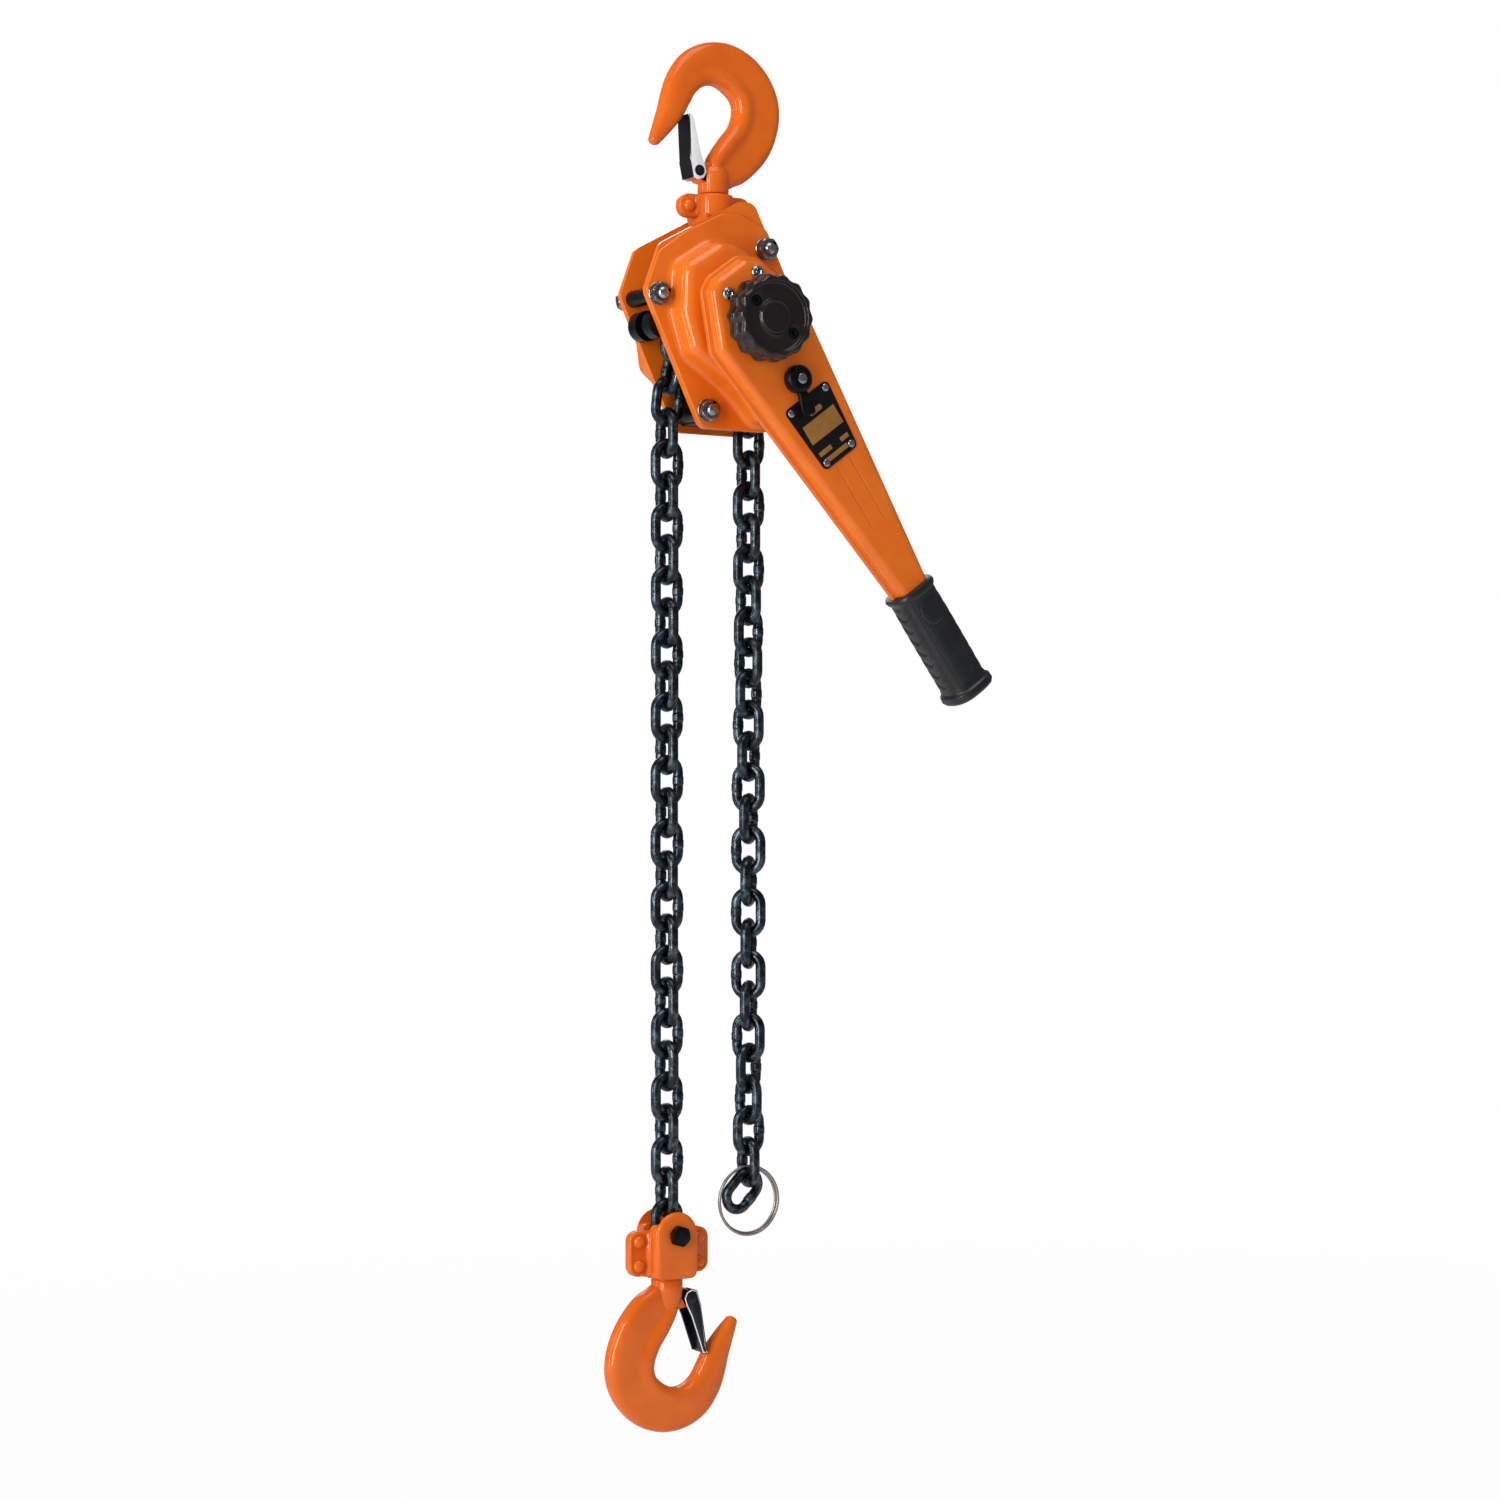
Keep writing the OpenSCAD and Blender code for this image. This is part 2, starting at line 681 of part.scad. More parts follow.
module yoke_rivets() {
    color("#d3682a")
        ear_rivets([for (s = [-1, 1]) [s * (yoke_ear - 10.5), -yoke_top - 12]]);
}

block_rivet_places = [for (s = [-1, 1]) for (z = [-5.5, -28.5])
    [fall_x + s * (block_ear - 10.5), block_bolt_z + z]];

// the block stands upside down on the same swivel housing, with a slot for the chain
module block_half(side) {
    h = block_top - block_floor;
    difference() {
        translate([fall_x, 0, block_floor])
            rotate([0, 180, 0])
            swivel_half(side, block_r, block_ear, -46, -3, h, block_bolt_z - block_floor) {
            for (s = [-1, 1]) for (z = [-5.5, -28.5])
                bar_y([s * (block_ear - 10.5), block_floor - block_bolt_z - z], rivet_d, -30, 30);
            bar_y([0, block_floor - block_bolt_z], chain_bolt_d, -30, 30);
        }
        bar_y([fall_x, block_bolt_z], link_w + weld_bump + 2, -wire / 2 - 1, wire / 2 + 1);
        translate([fall_x - 2 * block_ear, -wire / 2 - 1, block_bolt_z + 4])
            cube([4 * block_ear, wire + 2, 2 * block_len]);
        translate([fall_x - 2 * block_ear, -link_w / 2 - 1.3, block_bolt_z + 10])
            cube([4 * block_ear, link_w + 2.6, 2 * block_len]);
    }
}

module block_front() {
    color("#e8762c")
        block_half(-1);
}

module block_rear() {
    color("#e8762c")
        block_half(1);
}

module block_rivets() {
    color("#d3682a")
        ear_rivets(block_rivet_places);
}

module chain_bolt() {
    color("#26282a") {
        bar_y([fall_x, block_bolt_z], chain_bolt_d, -block_r - 1, block_r + 9.5);
        hex_y([fall_x, block_bolt_z], 18, -block_r - 7, -block_r - 0.5, 12);
        cone_y([fall_x, block_bolt_z], 15, 18, -block_r - 8, -block_r - 7 + eps);
    }
}

module chain_bolt_nut() {
    color("#26282a")
        difference() {
        hex_y([fall_x, block_bolt_z], 18, block_r + 0.5, block_r + 8.5, 4);
        bar_y([fall_x, block_bolt_z], chain_bolt_d, 0, 60);
    }
}

// ---------- frame ----------

module suspension_pin() {
    color("#7d8286")
        bar_y([0, -pin_drop], pin_d, -plate_out, plate_out);
}

module side_plate(y0, y1, bores, bore_d) {
    c = [0, -sheave_drop];
    difference() {
        slab(plate_pts(0), y0, y1);
        bar_y(c, journal_d + 10, y0 - 1, y1 + 1);
        bar_y([0, -pin_drop], pin_d, y0 - 1, y1 + 1);
        for (p = stay_places)
            bar_y(c + p, stay_d, y0 - 1, y1 + 1);
        for (a = roller_angles)
            bar_y(c + roller_reach * [cos(a), sin(a)], roller_pin_d, y0 - 1, y1 + 1);
        for (p = bores)
            bar_y(p, bore_d, y0 - 1, y1 + 1);
    }
}

module side_plate_front() {
    color("#e8762c")
        side_plate(-plate_out, -plate_in, pawl_places, pawl_pin_d);
}

module side_plate_rear() {
    color("#e8762c")
        side_plate(plate_in, plate_out, idler_places, idler_journal_d + 2 * run_clear);
}

rim_front = plate_out + cover_wall;
rim_rear = plate_out + cover_wall;
module stay_bolts() {
    color("#c4c6c8")
        for (p = stay_places) {
        q = p + [0, -sheave_drop];
        bar_y(q, stay_spacer_d, -plate_in, plate_in);
        bar_y(q, stay_d, -rim_front - stay_nut_h - 3, rim_rear + stay_nut_h + 3);
        cone_y(q, stay_d - 3, stay_d, -rim_front - stay_nut_h - 4.5, -rim_front - stay_nut_h - 3 + eps);
        cone_y(q, stay_d, stay_d - 3, rim_rear + stay_nut_h + 3 - eps, rim_rear + stay_nut_h + 4.5);
    }
}

module stay_nuts(y0, y1) {
    for (p = stay_places) {
        q = p + [0, -sheave_drop];
        difference() {
            union() {
                hex_y(q, stay_nut_af, y0, y1, 10);
                bar_y(q, stay_nut_af + 3, y0 < 0 ? y1 - 1.6 : y0, y0 < 0 ? y1 : y0 + 1.6);
            }
            bar_y(q, stay_d, y0 - 1, y1 + 1);
        }
    }
}

module stay_nuts_front() {
    color("#c4c6c8")
        stay_nuts(-rim_front - stay_nut_h, -rim_front);
}

module stay_nuts_rear() {
    color("#c4c6c8")
        stay_nuts(rim_rear, rim_rear + stay_nut_h);
}

// dome outlines inside the stay bolts, about the sheave
brake_dome = [[-62, 8], [-50, -30], [-9, -57], [25, -93], [44, -93], [88, -12], [46, 46], [6, 72], [-4, 77],
    [-22, 78], [-60, 54]];
gear_dome = [[-59, 12], [-52, -38], [-10, -71], [50, -71], [80, -6], [44, 44], [4, 84], [-20, 84], [-56, 56]];
function dome_pts(dome, d) =
    [for (q = rounded(inset(dome, d), max(2.5, dome_corner - max(0, d)), 4)) q + [0, -sheave_drop]];

// pressed cover: flat rim on the plate and a domed middle; side -1 front, 1 rear
module cover(side, dome, depth) {
    y = side * plate_out;
    w = cover_wall;
    f = dome_fillet;
    difference() {
        union() {
            slab(plate_pts(0, cover_corners), side < 0 ? y - w : y, side < 0 ? y : y + w);
            skin([for (p = [[1.3 * f + w, depth - w], [0.35 * f + w, depth - w - 0.4 * f],
                    [w, depth - w - 1.3 * f], [w, w + 3], [w, 0], [0, 0], [-3, w - 0.4], [-0.9, w + 1.2],
                    [0, w + 4], [0.3, depth - 1.2 * f], [0.35 * f, depth - 0.43 * f],
                    [0.75 * f, depth - 0.12 * f], [1.3 * f, depth]])
                ring_at(dome_pts(dome, p[0]), y + side * p[1])], side > 0);
        }
        for (p = stay_places)
            bar_y(p + [0, -sheave_drop], stay_d, y - 20, y + 20);
        slab(dome_pts(dome, w), side < 0 ? y - w - 0.5 : y - 1, side < 0 ? y + 1 : y + w + 0.5);
        children();
    }
}

module brake_cover() {
    color("#e8762c")
        cover(-1, brake_dome, brake_cover_depth) {
        bar_y([0, -sheave_drop], 2 * hub_bore_r + 6, -80, -plate_out - 5);
    }
}

module gear_cover() {
    color("#e8762c")
        cover(1, gear_dome, gear_cover_depth) {
    }
}

module sheave_bearing(y0, y1) {
    difference() {
        bar_y([0, -sheave_drop], journal_d + 10, y0, y1);
        bar_y([0, -sheave_drop], journal_d + 2 * run_clear, y0 - 1, y1 + 1);
    }
}

module sheave_bearing_front() {
    color("#b08d57")
        sheave_bearing(-plate_out - 0.5, -plate_in);
}

module sheave_bearing_rear() {
    color("#b08d57")
        sheave_bearing(plate_in, plate_out + 0.5);
}

module roller(a) {
    c = [roller_reach * cos(a), roller_reach * sin(a) - sheave_drop];
    difference() {
        bar_y(c, roller_d, -plate_in + air, plate_in - air);
        bar_y(c, roller_pin_d + 2 * run_clear, -40, 40);
        difference() {
            bar_y(c, roller_d + 2, -wire / 2 - 1.6, wire / 2 + 1.6);
            bar_y(c, roller_d - 11, -20, 20);
        }
    }
}

module guide_roller_left() {
    color("#2b2b2b")
        roller(roller_angles[0]);
}

module guide_roller_right() {
    color("#2b2b2b")
        roller(roller_angles[1]);
}

module roller_pins() {
    color("#8e9296")
        for (a = roller_angles)
            bar_y([roller_reach * cos(a), roller_reach * sin(a) - sheave_drop], roller_pin_d,
                -plate_out, plate_out);
}

// stripper on the lower stay bolt, its tongue in the sheave's groove
module chain_stripper() {
    c = stay_places[2] + [0, -sheave_drop];
    tongue = wire / 2 - 1;
    color("#2e2f31")
        difference() {
        union() {
            bar_y(c, stay_spacer_d + 2, -plate_in + air, plate_in - air);
            slab(rounded([for (p = [[-24, -92], [12, -92], [14, -60], [8, -sheave_r - 1.5],
                [-12, -sheave_r - 1.5], [-19, -60]]) p + [0, -sheave_drop]], 2, 3),
                -plate_in + air, plate_in - air);
            slab(rounded([for (p = [[-13, -62], [10, -62], [7, -groove_r - 1.5], [-7, -groove_r - 1.5]])
                p + [0, -sheave_drop]], 1.5, 3), -tongue, tongue);
        }
        bar_y(c, stay_spacer_d, -40, 40);
    }
}

// ---------- sheave and gears ----------

module load_sheave() {
    c = [0, -sheave_drop];
    color("#5a5f63")
        difference() {
        union() {
            bar_y(c, 2 * sheave_tooth_r, -sheave_w / 2, sheave_w / 2);
            difference() {
                bar_y(c, 2 * sheave_r, -sheave_w / 2, sheave_w / 2);
                bar_y(c, 2 * sheave_r + 2, -pocket_w / 2 - 0.3, pocket_w / 2 + 0.3);
            }
            bar_y(c, journal_d, -plate_out - 0.5, load_gear_y - 0.3);
            bar_y(c, sleeve_d, 0, load_gear_y + gear_w);
        }
        bar_y(c, shaft_d + 2 * run_clear, -50, 60);
        difference() {
            bar_y(c, 2 * sheave_r + 4, -wire / 2 - 1, wire / 2 + 1);
            bar_y(c, 2 * groove_r, -20, 20);
        }
        for (k = [0:3])
            translate([0, 0, -sheave_drop])
                rotate([0, -(left_angle - lying_half - 90 * k) + 90, 0])
                pocket();
    }
}

// pocket for one lying link, cut from above
pocket_w = link_w + weld_bump + 2 * pocket_play;
module pocket() {
    w = pocket_w;
    translate([0, 0, pocket_floor - weld_bump / 2 - 0.2]) {
        for (s = [-1, 1])
            translate([s * leg_half, 0, 0])
                cylinder(d = w, h = 40);
        translate([-leg_half, -w / 2, 0])
            cube([2 * leg_half, w, 40]);
    }
}

module gear(c, z, x, turn, y0, y1) {
    translate([c[0], y1, c[1]])
        rotate([90, 0, 0])
        rotate(turn)
        linear_extrude(y1 - y0)
        polygon(gear_pts(z, x));
}

shift = 0.4;
module load_gear() {
    c = [0, -sheave_drop];
    color("#9a7b4a")
        difference() {
        gear(c, large_teeth, -shift, idler_dirs[0], load_gear_y, load_gear_y + gear_w);
        bar_y(c, sleeve_d, 0, 80);
    }
}

module idler(a) {
    c = [gear_a * cos(a), gear_a * sin(a) - sheave_drop];
    color("#8f9498") {
        gear(c, small_teeth, shift, a + 180 + 180 / small_teeth, load_gear_y - 0.5, fast_gear_y + eps);
        gear(c, large_teeth, -shift, a + 180 + 180 / large_teeth, fast_gear_y, fast_gear_y + gear_w - 2);
        bar_y(c, idler_journal_d, plate_in + 0.5, load_gear_y);
        bar_y(c, idler_journal_d, fast_gear_y + 1, bearing_plate_y + bearing_plate_t);
    }
}

module idler_gear_upper() {
    idler(idler_dirs[0]);
}

module idler_gear_lower() {
    idler(idler_dirs[1]);
}

module gear_bearing_plate() {
    c = [0, -sheave_drop];
    y1 = bearing_plate_y + bearing_plate_t;
    color("#6f7478")
        difference() {
        slab(rounded([for (p = [[-46, 0], [-2, -56], [38, -52], [46, 0], [2, 56], [-38, 52]])
            c + p * gear_a / 38], 12, 4),
            bearing_plate_y, y1);
        bar_y(c, shaft_end_d + 2 * run_clear, 0, 90);
        for (a = idler_dirs)
            bar_y(c + gear_a * [cos(a), sin(a)], idler_journal_d + 2 * run_clear, 0, 90);
    }
}

module pinion_shaft() {
    c = [0, -sheave_drop];
    color("#aeb2b5") {
        bar_y(c, shaft_d, -plate_out - 1, load_gear_y + gear_w);
        bar_y(c, shaft_end_d, load_gear_y, bearing_plate_y + bearing_plate_t);
        gear(c, small_teeth, shift, idler_dirs[0], fast_gear_y - 0.5, fast_gear_y + gear_w - 2.5);
        bar_y(c, 18, -wheel_front_y + 12, -plate_out + 1);
    }
}

// ---------- brake ----------

module brake_hub() {
    c = [0, -sheave_drop];
    color("#7d8286")
        difference() {
        union() {
            bar_y(c, 2 * lining_r + 2, -disc1_y, -hub_y);
            bar_y(c, 2 * hub_neck_r, -feed_y, -hub_y);
        }
        bar_y(c, 18, -100, 0);
    }
}

module lining(y) {
    c = [0, -sheave_drop];
    difference() {
        bar_y(c, 2 * lining_r, -y - lining_t, -y);
        bar_y(c, 2 * hub_neck_r + 0.2, -100, 0);
        for (k = [0:7])
            translate([0, -y + 1, -sheave_drop])
                rotate([90, 0, 0])
                rotate(45 * k)
                translate([24, -1, 0])
                cube([12, 2, 1.8]);
    }
}

module friction_disc_inner() {
    color("#8a6a3c")
        lining(disc1_y);
}

module friction_disc_outer() {
    color("#8a6a3c")
        lining(disc2_y);
}

ratchet_turn = 0;
module ratchet_wheel() {
    c = [0, -sheave_drop];
    color("#55595c")
        difference() {
        translate([0, -ratchet_y, -sheave_drop])
            rotate([90, 0, 0])
            rotate(ratchet_turn)
            linear_extrude(ratchet_t)
            polygon(ratchet_pts());
        bar_y(c, 2 * hub_neck_r + 0.2, -100, 0);
    }
}

// pawls on the front side plate, points resting against a tooth's face
tooth_a = 360 / ratchet_teeth;
pawl_teeth = [3, 12];
pawl_swing = 29;
pawl_pin_d = 8;
pawl_places = [for (t = pawl_teeth)
    pawl_reach * [cos(t * tooth_a + pawl_swing), sin(t * tooth_a + pawl_swing)] + [0, -sheave_drop]];
module pawl(k) {
    c = [0, -sheave_drop];
    p = pawl_places[k];
    a = pawl_teeth[k] * tooth_a;
    f = 0.06 * tooth_a;
    root = ratchet_r - ratchet_depth;
    tip = c + (root + 0.5) * [cos(a + f + 0.8), sin(a + f + 0.8)];
    top = c + (ratchet_r + 2) * [cos(a - f + 0.6), sin(a - f + 0.6)];
    back = c + (root + 1.6) * [cos(a + f + 4.5), sin(a + f + 4.5)];
    out = c + (ratchet_r + 10) * [cos(a + 7), sin(a + 7)];
    color("#66696c")
        difference() {
        union() {
            bar_y(p, 14, -disc2_y, -ratchet_y);
            hull() {
                bar_y(p, 11, -disc2_y, -ratchet_y);
                slab([tip, back, out, top], -disc2_y, -ratchet_y);
            }
        }
        bar_y(p, pawl_pin_d + 2 * run_clear, -100, 0);
    }
}

module pawl_upper() {
    pawl(0);
}

module pawl_lower() {
    pawl(1);
}

module pawl_pins() {
    color("#8e9296")
        for (p = pawl_places) {
        bar_y(p, pawl_pin_d, -disc2_y - 2.2, -plate_in);
        bar_y(p, pawl_pin_d + 3, -disc2_y - 2.2, -disc2_y - 0.3);
        bar_y(p, pawl_pin_d + 5, -ratchet_y + 0.3, -plate_out);
    }
}

module feed_gear() {
    c = [0, -sheave_drop];
    color("#8f9498")
        difference() {
        union() {
            bar_y(c, 2 * lining_r, -feed_y - 4, -feed_y);
            bar_y(c, 2 * hub_bore_r, -lever_back_y - lever_t + 1.5, -feed_y);
            translate([0, -lever_back_y - lever_wall - 1.5, -sheave_drop])
                rotate([90, 0, 0])
                linear_extrude(lever_t - 2 * lever_wall - 3)
                polygon([for (k = [0:17]) for (s = [[-6, 26], [-3, 31], [3, 31], [6, 26]])
                    s[1] * [cos(20 * k + s[0]), sin(20 * k + s[0])]]);
        }
        bar_y(c, 18, -200, 0);
    }
}

// ---------- lever ----------

// one pressed half of the lever; side -1 front, 1 rear
module lever_shell(side) {
    y = -lever_mid_y + side * 0.05;
    h = lever_t / 2 - 0.05;
    w = lever_wall;
    difference() {
        skin([ring_at(lever_xz(lever_pts(11 + w)), y + side * (h - w)),
            ring_at(lever_xz(lever_pts(6.5 + w)), y + side * (h - w - 1.5)),
            ring_at(lever_xz(lever_pts(4.5 + w)), y + side * (h - w - 5)),
            ring_at(lever_xz(lever_pts(4 + w)), y),
            ring_at(lever_xz(lever_pts(0)), y),
            ring_at(lever_xz(lever_pts(0)), y + side * w),
            ring_at(lever_xz(lever_pts(4)), y + side * w),
            ring_at(lever_xz(lever_pts(4.5)), y + side * (h - 5)),
            ring_at(lever_xz(lever_pts(6.5)), y + side * (h - 1.5)),
            ring_at(lever_xz(lever_pts(11)), y + side * h)], side > 0);
        bar_y([0, -sheave_drop], 2 * hub_bore_r + 2 * air, -150, 0);
        children();
    }
}

lever_screw_places = [for (s = [-1, 1]) on_lever([-0.675 * lever_head_r, 3 + s * 19.2])];
module lever_front_shell() {
    color("#e8762c")
        lever_shell(-1) {
        for (p = lever_screw_places)
            bar_y(p, 6, -150, 0);
        for (p = rivet_places)
            bar_y(p, 4, -150, 0);
        bar_y(on_lever([selector_at, 0]), 12 + 2 * run_clear, -150, 0);
    }
}

module lever_rear_shell() {
    color("#e8762c")
        lever_shell(1) {
        for (p = lever_screw_places)
            bar_y(p, 6, -150, 0);
    }
}

module lever_screws() {
    color("#c4c6c8")
        for (p = lever_screw_places) {
        bar_y(p, 6, -lever_front_y - 2, -lever_back_y + 1);
        cone_y(p, 9, 12, -lever_front_y - 3.2, -lever_front_y - 1.5);
        bar_y(p, 12, -lever_front_y - 1.5, -lever_front_y);
        hex_y(p, 10, -lever_back_y, -lever_back_y + 3);
    }
}

// rubber grip over the end of the lever, oval, with a collar at each end
module grip() {
    n = 20;
    a0 = lever_len - grip_len;
    prof = [[0, 0.9], [1, 1.06], [4, 1.1], [7, 1.06], [9, 0.98], [40, 1], [80, 1], [106, 0.99],
        [grip_len - 12, 1.02], [grip_len - 9, 1.14], [grip_len - 4, 1.16], [grip_len - 1, 1.08],
        [grip_len, 0.98]];
    color("#26282a")
        difference() {
        skin([for (p = prof)
            [for (i = [0:n - 1])
                let (f = 360 * i / n, e = 0.75, cx = sign(cos(f)) * pow(abs(cos(f)), e),
                     cy = sign(sin(f)) * pow(abs(sin(f)), e),
                     q = on_lever([a0 + p[0], grip_w / 2 * p[1] * cx]))
                [q[0], -lever_mid_y + grip_depth / 2 * p[1] * cy, q[1]]]], true);
        slab(lever_xz(lever_pts(-0.05)), -lever_front_y - 0.05, -lever_back_y + 0.05);
    }
}

plate_outline = lever_xz(rounded([[plate_at, -plate_half_1], [plate_at + plate_len, -plate_half_2],
    [plate_at + plate_len, plate_half_2], [plate_at, plate_half_1]], 5, 3));
module name_plate() {
    color("#1f2022")
        difference() {
        slab(plate_outline, -lever_front_y - 1.2, -lever_front_y);
        for (p = rivet_places)
            bar_y(p, 4, -150, 0);
    }
}

rivet_places = [for (q = [[plate_at + 5.5, plate_half_1 - 6], [plate_at + plate_len - 5.5, plate_half_2 - 5]])
    for (s = [-1, 1]) on_lever([q[0], s * q[1]])];
module name_plate_rivets() {
    color("#c4c6c8")
        for (p = rivet_places) {
        bar_y(p, 4, -lever_front_y - 1.2, -lever_front_y + 1);
        cone_y(p, 4.5, 7.5, -lever_front_y - 2.8, -lever_front_y - 1.2);
    }
}

selector_c = on_lever([selector_at, 0]);
selector_turn = -20;
module selector_lever() {
    y = -lever_front_y - air;
    d = [sin(lever_angle + selector_turn), -cos(lever_angle + selector_turn)];
    s = [-d[1], d[0]];
    color("#202122")
        difference() {
        union() {
            bar_y(selector_c, 27, y - 9, y);
            cone_y(selector_c, 22, 27, y - 11.5, y - 9 + eps);
            hull() {
                bar_y(selector_c + d * 4, 17, y - 8, y - 1);
                bar_y(selector_c + d * 33, 9, y - 10, y - 3);
            }
            bar_y(selector_c, 12, y - 1, -lever_front_y + 8);
        }
        bar_y(selector_c, 7, y - 20, y - 4);
    }
}

module selector_pin() {
    y = -lever_front_y - air;
    color("#c4c6c8") {
        bar_y(selector_c, 7, y - 12.5, y - 4);
        cone_y(selector_c, 7, 10, y - 13.3, y - 12);
    }
}

// ---------- hand wheel ----------

module hand_wheel() {
    lobe = 6;
    n = wheel_lobes * lobe;
    r = wheel_d / 2;
    c = [0, -sheave_drop];
    prof = [[0, 7, 0], [4, 7, 0], [5.5, 0.8, 1], [10, 0, 1], [16, 0.4, 0.9], [17.5, 1.6, 0.8], [22, 1.2, 1],
        [wheel_t - 3, 1.6, 1], [wheel_t - 1, 3.2, 0.7], [wheel_t, 6, 0.4]];
    color("#2a2422")
        difference() {
        skin([for (p = prof)
            [for (i = [0:n - 1])
                let (f = 360 * i / n, h = wheel_hollow * p[2] * (1 - cos(f * wheel_lobes)) / 2,
                     q = r - p[1] - h)
                [q * cos(f), -wheel_back_y - p[0], q * sin(f) - sheave_drop]]], false);
        bar_y(c, 2 * r - 17, -wheel_front_y - 1, -wheel_front_y + 5);
        bar_y(c, 18 + 2 * run_clear, -wheel_front_y + 11.5, 0);
        bar_y(c, 2 * r - 24, -wheel_back_y - 9, -wheel_back_y + 1);
        for (p = wheel_screw_places)
            bar_y(p, 11, -wheel_front_y - 1, -wheel_front_y + 8);
    }
    color("#2a2422")
        cone_y(c, 30, 34, -wheel_front_y + 1.5, -wheel_front_y + 5 + eps);
}

wheel_screw_places = [for (s = [-1, 1]) s * 24.5 * [0.82, -0.57] + [0, -sheave_drop]];
module hand_wheel_screws() {
    color("#c4c6c8")
        for (p = wheel_screw_places) {
        difference() {
            bar_y(p, 9.6, -wheel_front_y + 6, -wheel_front_y + 8);
            hex_y(p, 4, -wheel_front_y + 5, -wheel_front_y + 7);
        }
    }
}

// ---------- parts ----------

top_hook();
top_latch();
top_latch_pin();
yoke_front();
yoke_rear();
yoke_rivets();
suspension_pin();
side_plate_front();
side_plate_rear();
stay_bolts();
stay_nuts_front();
stay_nuts_rear();
brake_cover();
gear_cover();
sheave_bearing_front();
sheave_bearing_rear();
load_sheave();
wrapped_chain();
load_gear();
idler_gear_upper();
idler_gear_lower();
gear_bearing_plate();
pinion_shaft();
brake_hub();
friction_disc_inner();
ratchet_wheel();
friction_disc_outer();
pawl_upper();
pawl_lower();
pawl_pins();
feed_gear();
lever_rear_shell();
lever_front_shell();
lever_screws();
grip();
name_plate();
name_plate_rivets();
selector_lever();
selector_pin();
hand_wheel();
hand_wheel_screws();
guide_roller_left();
guide_roller_right();
roller_pins();
chain_stripper();
load_chain_upper();
load_chain();
tail_chain_upper();
tail_chain();
tail_end_link();
split_ring();
block_front();
block_rear();
block_rivets();
chain_bolt();
chain_bolt_nut();
bottom_hook();
bottom_latch();
bottom_latch_pin();
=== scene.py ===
"""Lever chain hoist (come along), hanging by its top hook, whose load saddle is the origin.

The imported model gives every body, joint and rigid size. This script dresses it: enamel on the pressed
and forged steel, blackened chain, plated fasteners, moulded rubber and cast enamelled iron.
Sizes are in millimetres unless a name says otherwise; +Z is up and -Y is the front.
"""
import bisect
import logging
from collections.abc import Callable, Iterable, Sequence
from dataclasses import dataclass
from enum import Enum
from functools import partial
from math import acos, atan2, copysign, cos, hypot, pi, radians, sin, sqrt, tan

import bmesh
import bpy
from mathutils import Matrix, Vector


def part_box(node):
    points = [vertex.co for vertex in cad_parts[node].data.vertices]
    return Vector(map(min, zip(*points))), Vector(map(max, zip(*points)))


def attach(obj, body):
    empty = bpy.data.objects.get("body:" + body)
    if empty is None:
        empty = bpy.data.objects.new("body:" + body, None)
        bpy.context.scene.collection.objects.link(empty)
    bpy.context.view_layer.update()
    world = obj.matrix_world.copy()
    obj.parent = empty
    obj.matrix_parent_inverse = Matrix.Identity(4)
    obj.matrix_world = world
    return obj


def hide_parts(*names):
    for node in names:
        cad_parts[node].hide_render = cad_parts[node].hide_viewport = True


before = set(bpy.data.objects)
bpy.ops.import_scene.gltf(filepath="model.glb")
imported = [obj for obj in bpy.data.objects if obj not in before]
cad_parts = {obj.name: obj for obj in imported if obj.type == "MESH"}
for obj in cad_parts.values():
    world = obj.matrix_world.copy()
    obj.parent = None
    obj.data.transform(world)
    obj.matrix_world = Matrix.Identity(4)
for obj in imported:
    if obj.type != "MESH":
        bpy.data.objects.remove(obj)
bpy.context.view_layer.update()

logging.basicConfig(level=logging.INFO, format="%(name)s: %(message)s")
log = logging.getLogger("lever_hoist")

MM = 0.001
WAVE_TURN = 6.28  # a wave texture's scale is divided by this to make one band a feature's width
Point = tuple[float, float]
Tree, Node, Socket = bpy.types.NodeTree, bpy.types.Node, bpy.types.NodeSocket
Face = bmesh.types.BMFace


class Body(Enum):
    """The rigid bodies that pieces ride on."""

    TOP_HOOK = "top_hook"
    TOP_LATCH = "top_latch"
    YOKE = "yoke"
    FRAME = "frame"
    SHEAVE = "sheave"
    LEVER = "lever"
    SELECTOR = "selector"
    HAND_WHEEL = "hand_wheel"
    LOAD_LEAD = "load_lead"
    LOAD_FALL = "load_fall"
    BLOCK = "block"
    BOTTOM_HOOK = "bottom_hook"
    BOTTOM_LATCH = "bottom_latch"
    TAIL_LEAD = "tail_lead"
    TAIL_FALL = "tail_fall"
    TAIL_END = "tail_end_link"
    SPLIT_RING = "split_ring"


# ---------------------------------------------------------------- finishes


def linear(hex_colour: str) -> tuple[float, float, float, float]:
    """Turns an sRGB hex colour into linear RGBA.

    Args:
        hex_colour: Six hex digits, with or without a leading '#'.

    Returns:
        Linear red, green, blue and an alpha of one.
    """
    digits = hex_colour.lstrip("#")
    channels = [int(digits[i : i + 2], 16) / 255 for i in (0, 2, 4)]
    rgb = [c / 12.92 if c <= 0.04045 else ((c + 0.055) / 1.055) ** 2.4 for c in channels]
    return rgb[0], rgb[1], rgb[2], 1.0


